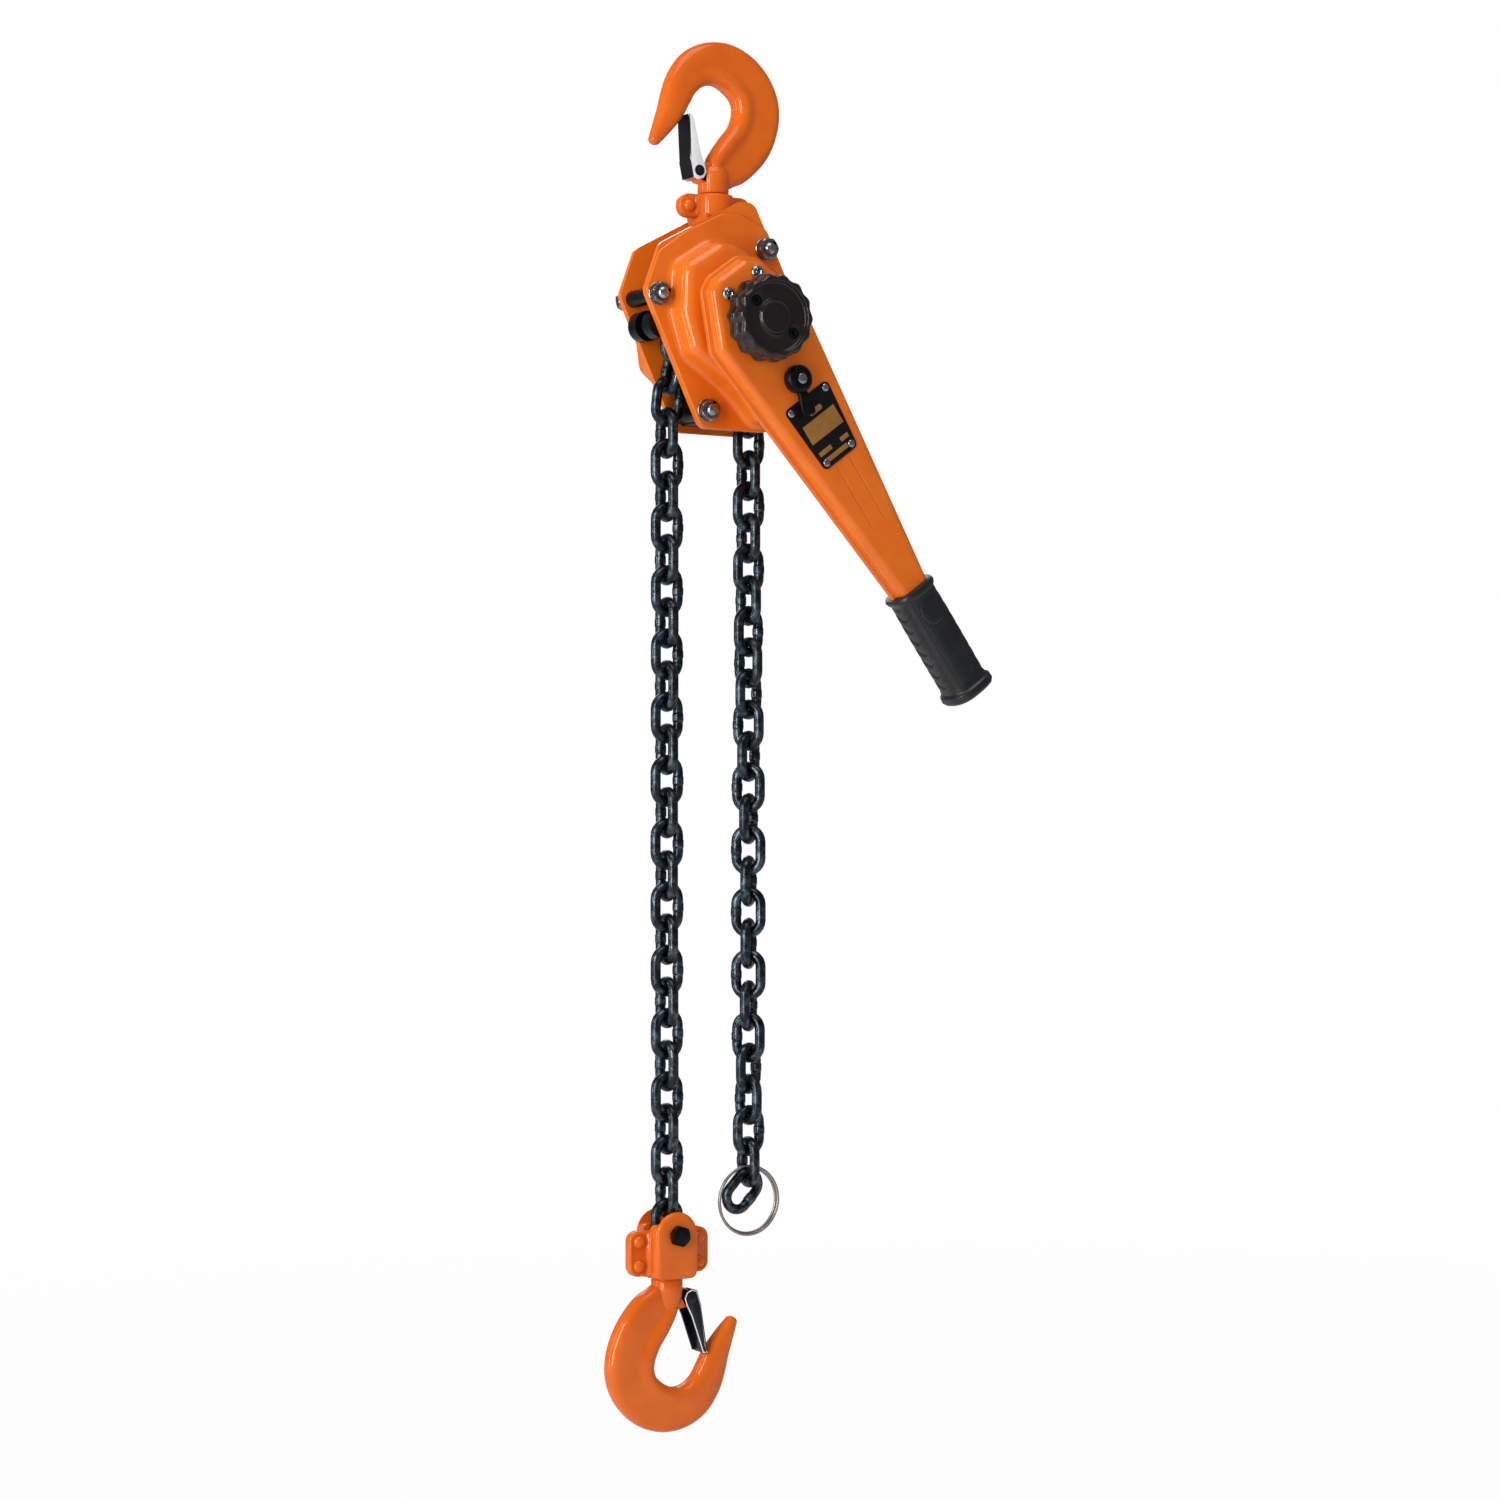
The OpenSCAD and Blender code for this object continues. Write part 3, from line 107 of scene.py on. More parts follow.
def add(
    tree: Tree,
    kind: str,
    settings: dict[str, object] | None = None,
    values: dict[str | int, object] | None = None,
    links: dict[str | int, Socket] | None = None,
) -> Node:
    """Adds a shader node with its settings, socket values and incoming links.

    Args:
        tree: The node tree to add to.
        kind: The node's type name, such as 'ShaderNodeTexNoise'.
        settings: Properties of the node itself.
        values: Default values by input name or index.
        links: Output sockets to join to inputs, by input name or index.

    Returns:
        The new node.
    """
    node = tree.nodes.new(kind)
    for name, value in (settings or {}).items():
        setattr(node, name, value)
    for key, value in (values or {}).items():
        node.inputs[key].default_value = value
    for key, socket in (links or {}).items():
        tree.links.new(socket, node.inputs[key])
    return node


def per_mm(size: float) -> float:
    """Texture scale per metre whose features are about this many millimetres wide."""
    return 1000.0 / size


@dataclass(frozen=True)
class Surface:
    """A material in the making: its node tree, its Principled node and its Object coordinates."""

    tree: Tree
    shader: Node
    place: Socket

    def emboss(self, height: Socket, depth_mm: float, strength: float = 1.0) -> None:
        """Presses a pattern into the surface.

        Args:
            height: Socket that gives the pattern.
            depth_mm: Depth of the pattern.
            strength: Strength of the bump.
        """
        bump = add(
            self.tree, "ShaderNodeBump",
            values={"Strength": strength, "Distance": depth_mm * MM}, links={"Height": height},
        )
        self.tree.links.new(bump.outputs["Normal"], self.shader.inputs["Normal"])


@dataclass(frozen=True)
class Finish:
    """What every finish has: a name, a base colour and how the bare surface answers light.

    Attributes:
        name: The material's name.
        colour: Base colour, an sRGB hex value.
        metallic: Nought for paint and rubber, one for bare metal.
        roughness: Roughness before it varies.
        specular: Specular level.
    """

    name: str
    colour: str
    metallic: float = 0.0
    roughness: float = 0.5
    specular: float = 0.5

    def build(self) -> bpy.types.Material:
        """Makes the material, or finds it if it is made already.

        Returns:
            The material.
        """
        made = bpy.data.materials.get(self.name)
        if made is not None:
            return made
        material = bpy.data.materials.new(self.name)
        material.use_nodes = True
        tree = material.node_tree
        tree.nodes.clear()
        place = add(tree, "ShaderNodeTexCoord")
        shader = add(
            tree,
            "ShaderNodeBsdfPrincipled",
            values={
                "Base Color": linear(self.colour), "Metallic": self.metallic, "Roughness": self.roughness,
                "Specular IOR Level": self.specular
            },
        )
        self.detail(Surface(tree, shader, place.outputs["Object"]))
        add(tree, "ShaderNodeOutputMaterial", links={"Surface": shader.outputs["BSDF"]})
        material.diffuse_color = linear(self.colour)
        material.metallic = self.metallic
        material.roughness = self.roughness
        return material

    def detail(self, on: Surface) -> None:
        """Adds the finish's own variation; plain here.

        Args:
            on: The material in the making.
        """

    def vary_colour(
        self, on: Surface, factor: Socket, low: str, high: str, span: Point = (0.3, 0.7)
    ) -> None:
        """Runs the base colour between two hex colours by a factor.

        Args:
            on: The material in the making.
            factor: Socket that gives 0 to 1.
            low: Colour at the low end.
            high: Colour at the high end.
            span: Factor values of the two ends.
        """
        ramp = add(on.tree, "ShaderNodeValToRGB", links={"Fac": factor})
        ramp.color_ramp.elements[0].position, ramp.color_ramp.elements[1].position = span
        ramp.color_ramp.elements[0].color = linear(low)
        ramp.color_ramp.elements[1].color = linear(high)
        on.tree.links.new(ramp.outputs["Color"], on.shader.inputs["Base Color"])

    def vary_roughness(
        self, on: Surface, factor: Socket, low: float, high: float
    ) -> None:
        """Runs the roughness between two values by a factor.

        Args:
            on: The material in the making.
            factor: Socket that gives 0 to 1.
            low: Roughness at the low end.
            high: Roughness at the high end.
        """
        spread = add(
            on.tree,
            "ShaderNodeMapRange",
            values={"From Min": 0.3, "From Max": 0.7, "To Min": low, "To Max": high},
            links={"Value": factor},
        )
        on.tree.links.new(spread.outputs["Result"], on.shader.inputs["Roughness"])


@dataclass(frozen=True)
class SprayedEnamel(Finish):
    """Glossy two-coat enamel sprayed on pressed or forged steel.

    A sprayed coat levels into a shallow orange peel of 2 to 3 mm, pools a little darker in places,
    and its clear outer layer gives the long soft highlights. A forged or cast surface shows through it
    as a coarser grain.
    """

    peel_mm: float = 2.6
    peel_depth_mm: float = 0.012
    shade: str = "D9661B"
    glow: str = "F0802A"
    grain_depth_mm: float = 0.0
    coat: float = 0.26
    coat_roughness: float = 0.06
    pool_mm: float = 55.0
    haze_mm: float = 9.0
    grain_mm: float = 7.0

    def detail(self, on: Surface) -> None:
        """Adds the pooled colour, the orange peel and the clear top layer.

        Args:
            on: The material in the making.
        """
        pool = add(
            on.tree, "ShaderNodeTexNoise",
            values={"Scale": per_mm(self.pool_mm), "Detail": 3.0, "Roughness": 0.55},
            links={"Vector": on.place}
        )
        self.vary_colour(on, pool.outputs["Fac"], self.shade, self.glow, (0.25, 0.72))
        haze = add(
            on.tree, "ShaderNodeTexNoise", values={"Scale": per_mm(self.haze_mm), "Detail": 4.0},
            links={"Vector": on.place}
        )
        self.vary_roughness(on, haze.outputs["Fac"], self.roughness - 0.04, self.roughness + 0.07)
        peel = add(
            on.tree, "ShaderNodeTexNoise",
            values={"Scale": per_mm(self.peel_mm), "Detail": 1.5, "Roughness": 0.4},
            links={"Vector": on.place}
        )
        bump = add(
            on.tree,
            "ShaderNodeBump",
            values={"Strength": 1.0, "Distance": self.peel_depth_mm * MM},
            links={"Height": peel.outputs["Fac"]},
        )
        if self.grain_depth_mm:
            grain = add(
                on.tree, "ShaderNodeTexNoise",
                values={"Scale": per_mm(self.grain_mm), "Detail": 3.0, "Roughness": 0.6},
                links={"Vector": on.place}
            )
            bump = add(
                on.tree,
                "ShaderNodeBump",
                values={"Strength": 1.0, "Distance": self.grain_depth_mm * MM},
                links={"Height": grain.outputs["Fac"], "Normal": bump.outputs["Normal"]},
            )
        on.tree.links.new(bump.outputs["Normal"], on.shader.inputs["Normal"])
        on.tree.links.new(bump.outputs["Normal"], on.shader.inputs["Coat Normal"])
        on.shader.inputs["Coat Weight"].default_value = self.coat
        on.shader.inputs["Coat Roughness"].default_value = self.coat_roughness


@dataclass(frozen=True)
class BlackenedSteel(Finish):
    """Heat-treated alloy steel with its dark oxide skin, lightly oiled.

    The skin is blue-black with greyer rubbed patches a few millimetres wide, over a finely pitted wire.
    """

    rubbed: str = "46535B"
    patch_mm: float = 7.0
    pit_mm: float = 1.1
    pit_depth_mm: float = 0.05
    film_mm: float = 16.0

    def detail(self, on: Surface) -> None:
        """Adds the rubbed patches, the oil film's uneven gloss and the pits.

        Args:
            on: The material in the making.
        """
        patch = add(
            on.tree, "ShaderNodeTexNoise",
            values={"Scale": per_mm(self.patch_mm), "Detail": 5.0, "Roughness": 0.6},
            links={"Vector": on.place}
        )
        self.vary_colour(on, patch.outputs["Fac"], self.colour, self.rubbed, (0.46, 0.74))
        film = add(
            on.tree, "ShaderNodeTexNoise", values={"Scale": per_mm(self.film_mm), "Detail": 3.0},
            links={"Vector": on.place}
        )
        self.vary_roughness(on, film.outputs["Fac"], self.roughness - 0.08, self.roughness + 0.12)
        pits = add(
            on.tree, "ShaderNodeTexNoise", values={"Scale": per_mm(self.pit_mm), "Detail": 2.0},
            links={"Vector": on.place}
        )
        on.emboss(pits.outputs["Fac"], self.pit_depth_mm)


@dataclass(frozen=True)
class PlatedSteel(Finish):
    """Metal under a thin skin: zinc or nickel plate, chromate, anodising or print.

    The skin keeps the turned or pressed surface under it: faint blotches, soft gloss and fine scratches.
    """

    blotch: str = "A9ADB2"
    blotch_mm: float = 3.5
    scratch_depth_mm: float = 0.01
    scratch_mm: float = 1.6

    def detail(self, on: Surface) -> None:
        """Adds the blotches and the scratches.

        Args:
            on: The material in the making.
        """
        blotch = add(
            on.tree, "ShaderNodeTexNoise", values={"Scale": per_mm(self.blotch_mm), "Detail": 4.0},
            links={"Vector": on.place}
        )
        self.vary_colour(on, blotch.outputs["Fac"], self.blotch, self.colour, (0.32, 0.6))
        self.vary_roughness(on, blotch.outputs["Fac"], self.roughness + 0.08, self.roughness - 0.04)
        drawn = add(
            on.tree, "ShaderNodeMapping", values={"Scale": (1.0, 6.0, 1.0), "Rotation": (0.3, 0.5, 0.2)},
            links={"Vector": on.place}
        )
        scratch = add(
            on.tree, "ShaderNodeTexNoise", values={"Scale": per_mm(self.scratch_mm), "Detail": 2.0},
            links={"Vector": drawn.outputs["Vector"]}
        )
        on.emboss(scratch.outputs["Fac"], self.scratch_depth_mm)


@dataclass(frozen=True)
class MachinedSteel(Finish):
    """Turned, milled or gear-cut steel under a film of oil.

    The tool's lines are far finer than a render shows, so they are drawn 0.8 mm wide and 1.6 mm apart.
    """

    line_mm: float = 0.8
    line_depth_mm: float = 0.01
    oil_mm: float = 20.0

    def detail(self, on: Surface) -> None:
        """Adds the oil film's uneven gloss and the tool lines.

        Args:
            on: The material in the making.
        """
        oil = add(
            on.tree, "ShaderNodeTexNoise", values={"Scale": per_mm(self.oil_mm), "Detail": 3.0},
            links={"Vector": on.place}
        )
        self.vary_roughness(on, oil.outputs["Fac"], self.roughness - 0.06, self.roughness + 0.1)
        lines = add(
            on.tree,
            "ShaderNodeTexWave",
            settings={"wave_type": "BANDS", "bands_direction": "Y"},
            values={"Scale": per_mm(self.line_mm) / WAVE_TURN, "Distortion": 0.4, "Detail": 1.0},
            links={"Vector": on.place},
        )
        on.emboss(lines.outputs["Fac"], self.line_depth_mm, 0.6)


@dataclass(frozen=True)
class MouldedRubber(Finish):
    """Moulded rubber or pressed lining with a fine matt grain from the mould."""

    grain_mm: float = 0.7
    grain_depth_mm: float = 0.06
    worn: str = "2C2E31"
    handled_mm: float = 24.0

    def detail(self, on: Surface) -> None:
        """Adds the mould grain and the greyer handled patches.

        Args:
            on: The material in the making.
        """
        handled = add(
            on.tree, "ShaderNodeTexNoise", values={"Scale": per_mm(self.handled_mm), "Detail": 4.0},
            links={"Vector": on.place}
        )
        self.vary_colour(on, handled.outputs["Fac"], self.colour, self.worn, (0.42, 0.75))
        self.vary_roughness(on, handled.outputs["Fac"], self.roughness + 0.05, self.roughness - 0.1)
        grain = add(
            on.tree, "ShaderNodeTexVoronoi", values={"Scale": per_mm(self.grain_mm)},
            links={"Vector": on.place}
        )
        on.emboss(grain.outputs["Distance"], self.grain_depth_mm)


ORANGE = SprayedEnamel(
    "orange_enamel_on_pressed_steel", "E36C18", roughness=0.34, specular=0.04, shade="DC6414", glow="E8741C",
    coat=0.9
)
ORANGE_FORGED = SprayedEnamel(
    "orange_enamel_on_forged_steel", "DC6418", roughness=0.36, specular=0.04,
    shade="D25A14", glow="E26C1C", grain_depth_mm=0.1, coat=0.6,
)
WHEEL_BROWN = SprayedEnamel(
    "dark_enamel_on_cast_iron", "191514", roughness=0.32, specular=0.1,
    shade="151110", glow="201A18", grain_depth_mm=0.2, coat=0.7,
)
CAST_BOSS = SprayedEnamel(
    "rough_cast_wheel_disc", "151211", roughness=0.36, specular=0.1,
    shade="110E0D", glow="1B1716", peel_mm=3.4, peel_depth_mm=0.5, grain_depth_mm=0.5, coat=0.6,
)
CHAIN = BlackenedSteel(
    "blackened_chain_steel", "2B3338", metallic=0.95, roughness=0.27, rubbed="67757F", pit_depth_mm=0.03
)
# Black oxide steel. On the stay bolts' spacers it also stands for painted shade in the gap between the side
# plates.
BLACK_STEEL_AND_PAINTED_GAP_SHADE = BlackenedSteel(
    "black_oxide_steel_and_painted_gap_shade", "131416", metallic=0.7, roughness=0.3, specular=0.3, rubbed="242629",
    pit_depth_mm=0.02
)
ZINC = PlatedSteel("bright_zinc_plate", "B4B7BA", metallic=1.0, roughness=0.2, blotch="8B8F93")
ZINC_DARK = PlatedSteel("dark_chromate_plate", "9A9DA0", metallic=1.0, roughness=0.24, blotch="6E7276")
# Lit and shaded copies of one latch steel. The near-white copy is painted light: the lit faces and painted
# highlights on edges. The dark copy is painted shade on the latch's folds and cheeks, and it is also the
# pin's own dark finish.
LATCH_PAINTED_LIT = PlatedSteel(
    "latch_steel_painted_lit", "FAFBFB", metallic=0.2, roughness=0.24, specular=0.3, blotch="F2F4F5",
    blotch_mm=14.0
)
LATCH_PAINTED_SHADE_AND_DARK_PIN = PlatedSteel(
    "latch_painted_shade_and_dark_pin_steel", "3E4145", metallic=0.9, roughness=0.26, blotch="303337", blotch_mm=14.0
)
NICKEL = PlatedSteel(
    "nickel_plated_spring_wire", "A8A29A", metallic=0.9, roughness=0.36, blotch="9A948C", blotch_mm=12.0,
    scratch_depth_mm=0.001
)
STEEL = MachinedSteel("turned_steel", "8A8D90", metallic=1.0, roughness=0.3)
CAST = BlackenedSteel(
    "hardened_cast_steel", "3A3E41", metallic=0.85, roughness=0.42, rubbed="6A6E71", pit_mm=1.6
)
LINING = MouldedRubber("pressed_friction_lining", "3B2F25", roughness=0.8, worn="54463A", grain_mm=1.2)
BRONZE = MachinedSteel("bearing_bronze", "B07F3A", metallic=1.0, roughness=0.34)
RUBBER = MouldedRubber(
    "black_moulded_rubber", "151618", roughness=0.38, specular=0.5, worn="1F2123", grain_depth_mm=0.02
)
PRINTED = PlatedSteel(
    "black_printed_aluminium", "0F0F11", metallic=0.0, roughness=0.3, specular=0.2, blotch="151517"
)
TAN = PlatedSteel(
    "tan_anodised_fields", "A9753B", metallic=0.2, roughness=0.38, specular=0.2, blotch="9C6A33",
    blotch_mm=6.0
)

NODE_FINISH: dict[Finish, str] = {
    ORANGE_FORGED: "top_hook bottom_hook",
    ORANGE: "yoke_front yoke_rear side_plate_front side_plate_rear brake_cover gear_cover lever_rear_shell "
    "lever_front_shell block_front block_rear yoke_rivets block_rivets",
    CHAIN: "wrapped_chain load_chain_upper load_chain tail_chain_upper tail_chain tail_end_link",
    BLACK_STEEL_AND_PAINTED_GAP_SHADE: "guide_roller_left guide_roller_right chain_bolt chain_bolt_nut selector_lever chain_stripper",
    ZINC: "stay_nuts_front stay_nuts_rear stay_bolts lever_screws name_plate_rivets selector_pin "
    "hand_wheel_screws top_latch_pin bottom_latch_pin",
    LATCH_PAINTED_LIT: "top_latch bottom_latch",
    NICKEL: "split_ring",
    STEEL: "suspension_pin gear_bearing_plate pinion_shaft brake_hub pawl_pins roller_pins feed_gear",
    CAST: "load_sheave load_gear idler_gear_upper idler_gear_lower ratchet_wheel pawl_upper pawl_lower",
    LINING: "friction_disc_inner friction_disc_outer",
    BRONZE: "sheave_bearing_front sheave_bearing_rear",
    RUBBER: "grip",
    WHEEL_BROWN: "hand_wheel",
    PRINTED: "name_plate",
}


def dress_nodes() -> None:
    """Gives every carried-over node its finish."""
    for finish, names in NODE_FINISH.items():
        for name in names.split():
            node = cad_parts[name]
            node.data.materials.clear()
            node.data.materials.append(finish.build())
    missing = set(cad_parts) - {n for names in NODE_FINISH.values() for n in names.split()}
    log.info("dressed %d nodes, left %s", len(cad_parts) - len(missing), sorted(missing) or "none")


# ---------------------------------------------------------------- outlines and meshes

SHEAVE_Z = -233.0
LEVER_ANGLE = radians(35.5)
FALL_X = -50.7145  # the load fall, the block and the load hook hang here
LOAD_SADDLE_Z = -1239.566
LATCH_EYE: Point = (-21.0, -84.0)  # a latch's pivot, seen from its hook's saddle
LOAD_BOWL_SHIFT = 6.0
WELD_MM = 0.0004  # vertices nearer than this become one


def unit(v: Vector) -> Vector:
    """Vector of the same direction and length one."""
    return v.normalized()


def clamp(value: float, low: float = 0.0, high: float = 1.0) -> float:
    """Keeps a value between two others."""
    return max(low, min(high, value))


def corner_at(points: Sequence[Vector], index: int) -> tuple[Vector, Vector, float]:
    """Looks along both sides of a corner.

    Args:
        points: The outline.
        index: Which of its points is the corner.

    Returns:
        Directions to the points before and after it, and half the angle between them.
    """
    here = points[index]
    u, v = unit(points[index - 1] - here), unit(points[(index + 1) % len(points)] - here)
    return u, v, acos(clamp(u.dot(v), -1.0)) / 2


def squarish(value: float, power: float) -> float:
    """A sine or cosine drawn outwards, which turns a circle into a squarish oval."""
    return copysign(abs(value) ** power, value)


def mirrored(half: Sequence[Point]) -> list[Point]:
    """Profile of a turned part whose front end is its rear end turned round."""
    return [(r, -y) for r, y in half] + [(r, y) for r, y in reversed(half)]


def inset(corners: Sequence[Point | Vector], depth: float) -> list[Vector]:
    """Moves the sides of an outline inwards.

    Args:
        corners: Anticlockwise corner points.
        depth: Distance inwards, negative for outwards.

    Returns:
        The moved corner points.
    """
    points = [Vector(c) for c in corners]
    moved = []
    for i, p in enumerate(points):
        u, v, half = corner_at(points, i)
        side = 1.0 if v.x * u.y - v.y * u.x > 0 else -1.0
        moved.append(p + unit(u + v) * side * depth / sin(half))
    return moved


def rounded(corners: Sequence[Point | Vector], radius: float, steps: int = 6) -> list[Vector]:
    """Rounds an outline's corners.

    Args:
        corners: Corner points.
        radius: Corner radius.
        steps: Segments per corner.

    Returns:
        The outline, steps + 1 points for each corner.
    """
    points = [Vector(c) for c in corners]
    outline = []
    for i, p in enumerate(points):
        u, v, half = corner_at(points, i)
        centre = p + unit(u + v) * radius / sin(half)
        start = p + u * radius / tan(half) - centre
        end = p + v * radius / tan(half) - centre
        a0, a1 = atan2(start.y, start.x), atan2(end.y, end.x)
        turn = (a1 - a0 + pi) % (2 * pi) - pi
        outline += [
            centre + radius * Vector((cos(a0 + turn * k / steps), sin(a0 + turn * k / steps)))
            for k in range(steps + 1)
        ]
    return outline


def smooth_through(stations: Sequence[Sequence[float]], steps: int) -> list[list[float]]:
    """Runs a Catmull-Rom curve through rows of numbers.

    Args:
        stations: Rows of equal length.
        steps: Rows made for each gap.

    Returns:
        The finer rows, the first and last kept.
    """
    last = len(stations) - 1
    rows = []
    for i in range(last):
        a, b, c, d = (stations[max(0, i - 1)], stations[i], stations[i + 1], stations[min(last, i + 2)])
        for k in range(steps):
            u = k / steps
            row = []
            for p, q, r, s in zip(a, b, c, d):
                square, cube = 2 * p - 5 * q + 4 * r - s, 3 * q - p - 3 * r + s
                row.append(0.5 * (2 * q + (r - p) * u + square * u * u + cube * u**3))
            rows.append(row)
    rows.append(list(stations[last]))
    return rows


def front(points: Iterable[Vector], depth: float, lift: float = SHEAVE_Z) -> list[Vector]:
    """Sets a front-view outline at a depth.

    Args:
        points: Outline points, across and up.
        depth: Y of the ring.
        lift: Height added to the outline.

    Returns:
        The ring's points in space.
    """
    return [Vector((p[0], depth, p[1] + lift)) for p in points]


def on_lever(along: float, across: float) -> Vector:
    """Place on the lever as a place on the front, about the sheave axis."""
    s, c = sin(LEVER_ANGLE), cos(LEVER_ANGLE)
    return Vector((along * s + across * c, -along * c + across * s))


def ease(x: float, low: float, high: float) -> float:
    """Smooth step from nought at low to one at high."""
    t = clamp((x - low) / (high - low))
    return t * t * (3 - 2 * t)


class Shape:
    """A mesh in the making, in millimetres, with the finishes that its faces use."""

    def __init__(self, *finishes: Finish) -> None:
        """Starts empty, with one material slot for each finish."""
        self.bm = bmesh.new()
        self.finishes = finishes
        self.slot = 0
        self.order = self.bm.verts.layers.int.new("order")

    def loft(self, rings: Sequence[Sequence[Vector]], ends: tuple[bool, bool] = (True, True)) -> list[Face]:
        """Extrudes a ring of points through the rings that follow it.

        Args:
            rings: Rings of equal length, in order.
            ends: Whether the first and the last ring are closed by a face.

        Returns:
            The faces that close the ends.
        """
        circle = bmesh.ops.create_circle(self.bm, segments=len(rings[0]), radius=1.0)["verts"]
        for index, vert in enumerate(circle):
            vert[self.order] = index
            vert.co = rings[0][index]
        first = list({edge for vert in circle for edge in vert.link_edges})
        edges = first
        for ring in rings[1:]:
            grown = bmesh.ops.extrude_edge_only(self.bm, edges=edges)["geom"]
            fresh = {g for g in grown if isinstance(g, bmesh.types.BMVert)}
            for vert in fresh:
                vert.co = ring[vert[self.order]]
            edges = [g for g in grown if isinstance(g, bmesh.types.BMEdge) and fresh.issuperset(g.verts)]
            self.paint(g for g in grown if isinstance(g, Face))
        caps = []
        for wanted, loop in zip(ends, (first, edges)):
            if wanted:
                caps += bmesh.ops.contextual_create(self.bm, geom=loop)["faces"]
        self.paint(caps)
        return caps

    def paint(self, faces: Iterable[Face]) -> None:
        """Gives faces the finish in use."""
        for face in faces:
            face.material_index = self.slot

    def turn(self, profile: Sequence[Point], centre: Vector, axis: Vector, segments: int = 40) -> None:
        """Spins a profile about an axis.

        Args:
            profile: Pairs of radius and distance along the axis.
            centre: The axis's zero.
            axis: Direction of the axis.
            segments: Faces round the axis.
        """
        out = axis.orthogonal().normalized()
        verts = [self.bm.verts.new(centre + out * r + axis * h) for r, h in profile]
        edges = [self.bm.edges.new(pair) for pair in zip(verts, verts[1:])]
        before = set(self.bm.faces)
        bmesh.ops.spin(
            self.bm, geom=verts + edges, cent=centre, axis=axis, dvec=(0, 0, 0), angle=2 * pi,
            steps=segments, use_merge=True, use_duplicate=False,
        )
        self.paint(face for face in self.bm.faces if face not in before)

    def turn_y(
        self, profile: Sequence[Point], place: Point | Vector, segments: int = 40, lift: float = SHEAVE_Z
    ) -> None:
        """Spins a profile of radius and Y about an axis along Y through a front-view place."""
        self.turn(profile, Vector((place[0], 0, place[1] + lift)), Vector((0, 1, 0)), segments)

    def slab(
        self, outline: Callable[[float], list[Vector]], profile: Sequence[Point], lift: float = SHEAVE_Z
    ) -> list[Face]:
        """Lofts a front-view outline along Y by a profile.

        Args:
            outline: Gives the outline moved inwards by a distance.
            profile: Pairs of that distance and Y.
            lift: Height added to the outline.

        Returns:
            The two end faces.
        """
        return self.loft([front(outline(depth), y, lift) for depth, y in profile])

    def plate(self, corners: Sequence[Point], radius: float, steps: int, profile: Sequence[Point]) -> None:
        """Lofts a rounded outline along Y, its corners tightening as it moves inwards.

        Args:
            corners: Corners of the outline.
            radius: Corner radius before it moves inwards.
            steps: Segments per corner.
            profile: Pairs of the distance inwards and Y.
        """
        self.slab(lambda depth: rounded(inset(corners, depth), radius - depth, steps), profile, 0.0)

    def join(self, other: bpy.types.Mesh, matrix: Matrix) -> None:
        """Adds a copy of a mesh.

        Args:
            other: The mesh.
            matrix: Its place.
        """
        before = len(self.bm.verts)
        self.bm.from_mesh(other)
        self.bm.verts.ensure_lookup_table()
        bmesh.ops.transform(self.bm, matrix=matrix, verts=self.bm.verts[before:])

    def place(self, name: str, body: Body, *replaced: str, sharp: float = 34.0) -> bpy.types.Object:
        """Finishes the mesh as a piece that rides on a body.

        Args:
            name: The piece's name.
            body: The body that carries it.
            *replaced: CAD nodes it stands for.
            sharp: Edges that turn more than this many degrees stay sharp.

        Returns:
            The finished object.
        """
        bmesh.ops.remove_doubles(self.bm, verts=self.bm.verts, dist=WELD_MM)
        bmesh.ops.recalc_face_normals(self.bm, faces=self.bm.faces)
        bmesh.ops.scale(self.bm, vec=(MM, MM, MM), verts=self.bm.verts)
        for face in self.bm.faces:
            face.smooth = len(face.verts) <= 4
        mesh = bpy.data.meshes.new(name)
        self.bm.verts.layers.int.remove(self.order)
        self.bm.to_mesh(mesh)
        self.bm.free()
        mesh.set_sharp_from_angle(angle=radians(sharp))
        for finish in self.finishes:
            mesh.materials.append(finish.build())
        piece = bpy.data.objects.new(name, mesh)
        bpy.context.scene.collection.objects.link(piece)
        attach(piece, body.value)
        if replaced:
            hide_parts(*replaced)
        log.info("%s on %s: %d faces", name, body.value, len(mesh.polygons))
        return piece


def dome(radius: float, base: float, height: float, out: float, steps: int = 7) -> list[Point]:
    """Profile of a domed head that grows from a base along Y.

    Args:
        radius: Radius of the head.
        base: Y of its underside.
        height: Height of the dome.
        out: Minus one towards the front, one towards the rear.
        steps: Rings over the dome.

    Returns:
        Pairs of radius and Y, from the axis at the underside to the axis at the top.
    """
    arc = [
        (radius * cos(k / steps * pi / 2), base + out * height * (0.16 + 0.84 * sin(k / steps * pi / 2)))
        for k in range(steps + 1)
    ]
    return [(0.0, base), (radius, base)] + arc[:-1] + [(0.0, arc[-1][1])]


def circle(radius: float, steps: int, start: float = 0.0) -> list[Vector]:
    """Points of a circle about the origin."""
    return [
        radius * Vector((cos(start + 2 * pi * k / steps), sin(start + 2 * pi * k / steps)))
        for k in range(steps)
    ]


def hexagon(flats: float, steps: int = 72, most: float = 1e9, turn: float = 0.0) -> list[Vector]:
    """Points of a hexagon about the origin, its corners turned off at a radius.

    Args:
        flats: Size across the flats.
        steps: Points round it, a multiple of twelve.
        most: Largest radius.
        turn: Turn in degrees.

    Returns:
        The points.
    """
    points = []
    for k in range(steps):
        a = 2 * pi * k / steps
        radius = min(most, flats / 2 / cos((a + pi / 6) % (pi / 3) - pi / 6))
        points.append(radius * Vector((cos(a + radians(turn)), sin(a + radians(turn)))))
    return points


def moved(points: Iterable[Vector], place: Point | Vector) -> list[Vector]:
    """Points moved by a front-view place."""
    return [Vector((p[0] + place[0], p[1] + place[1])) for p in points]


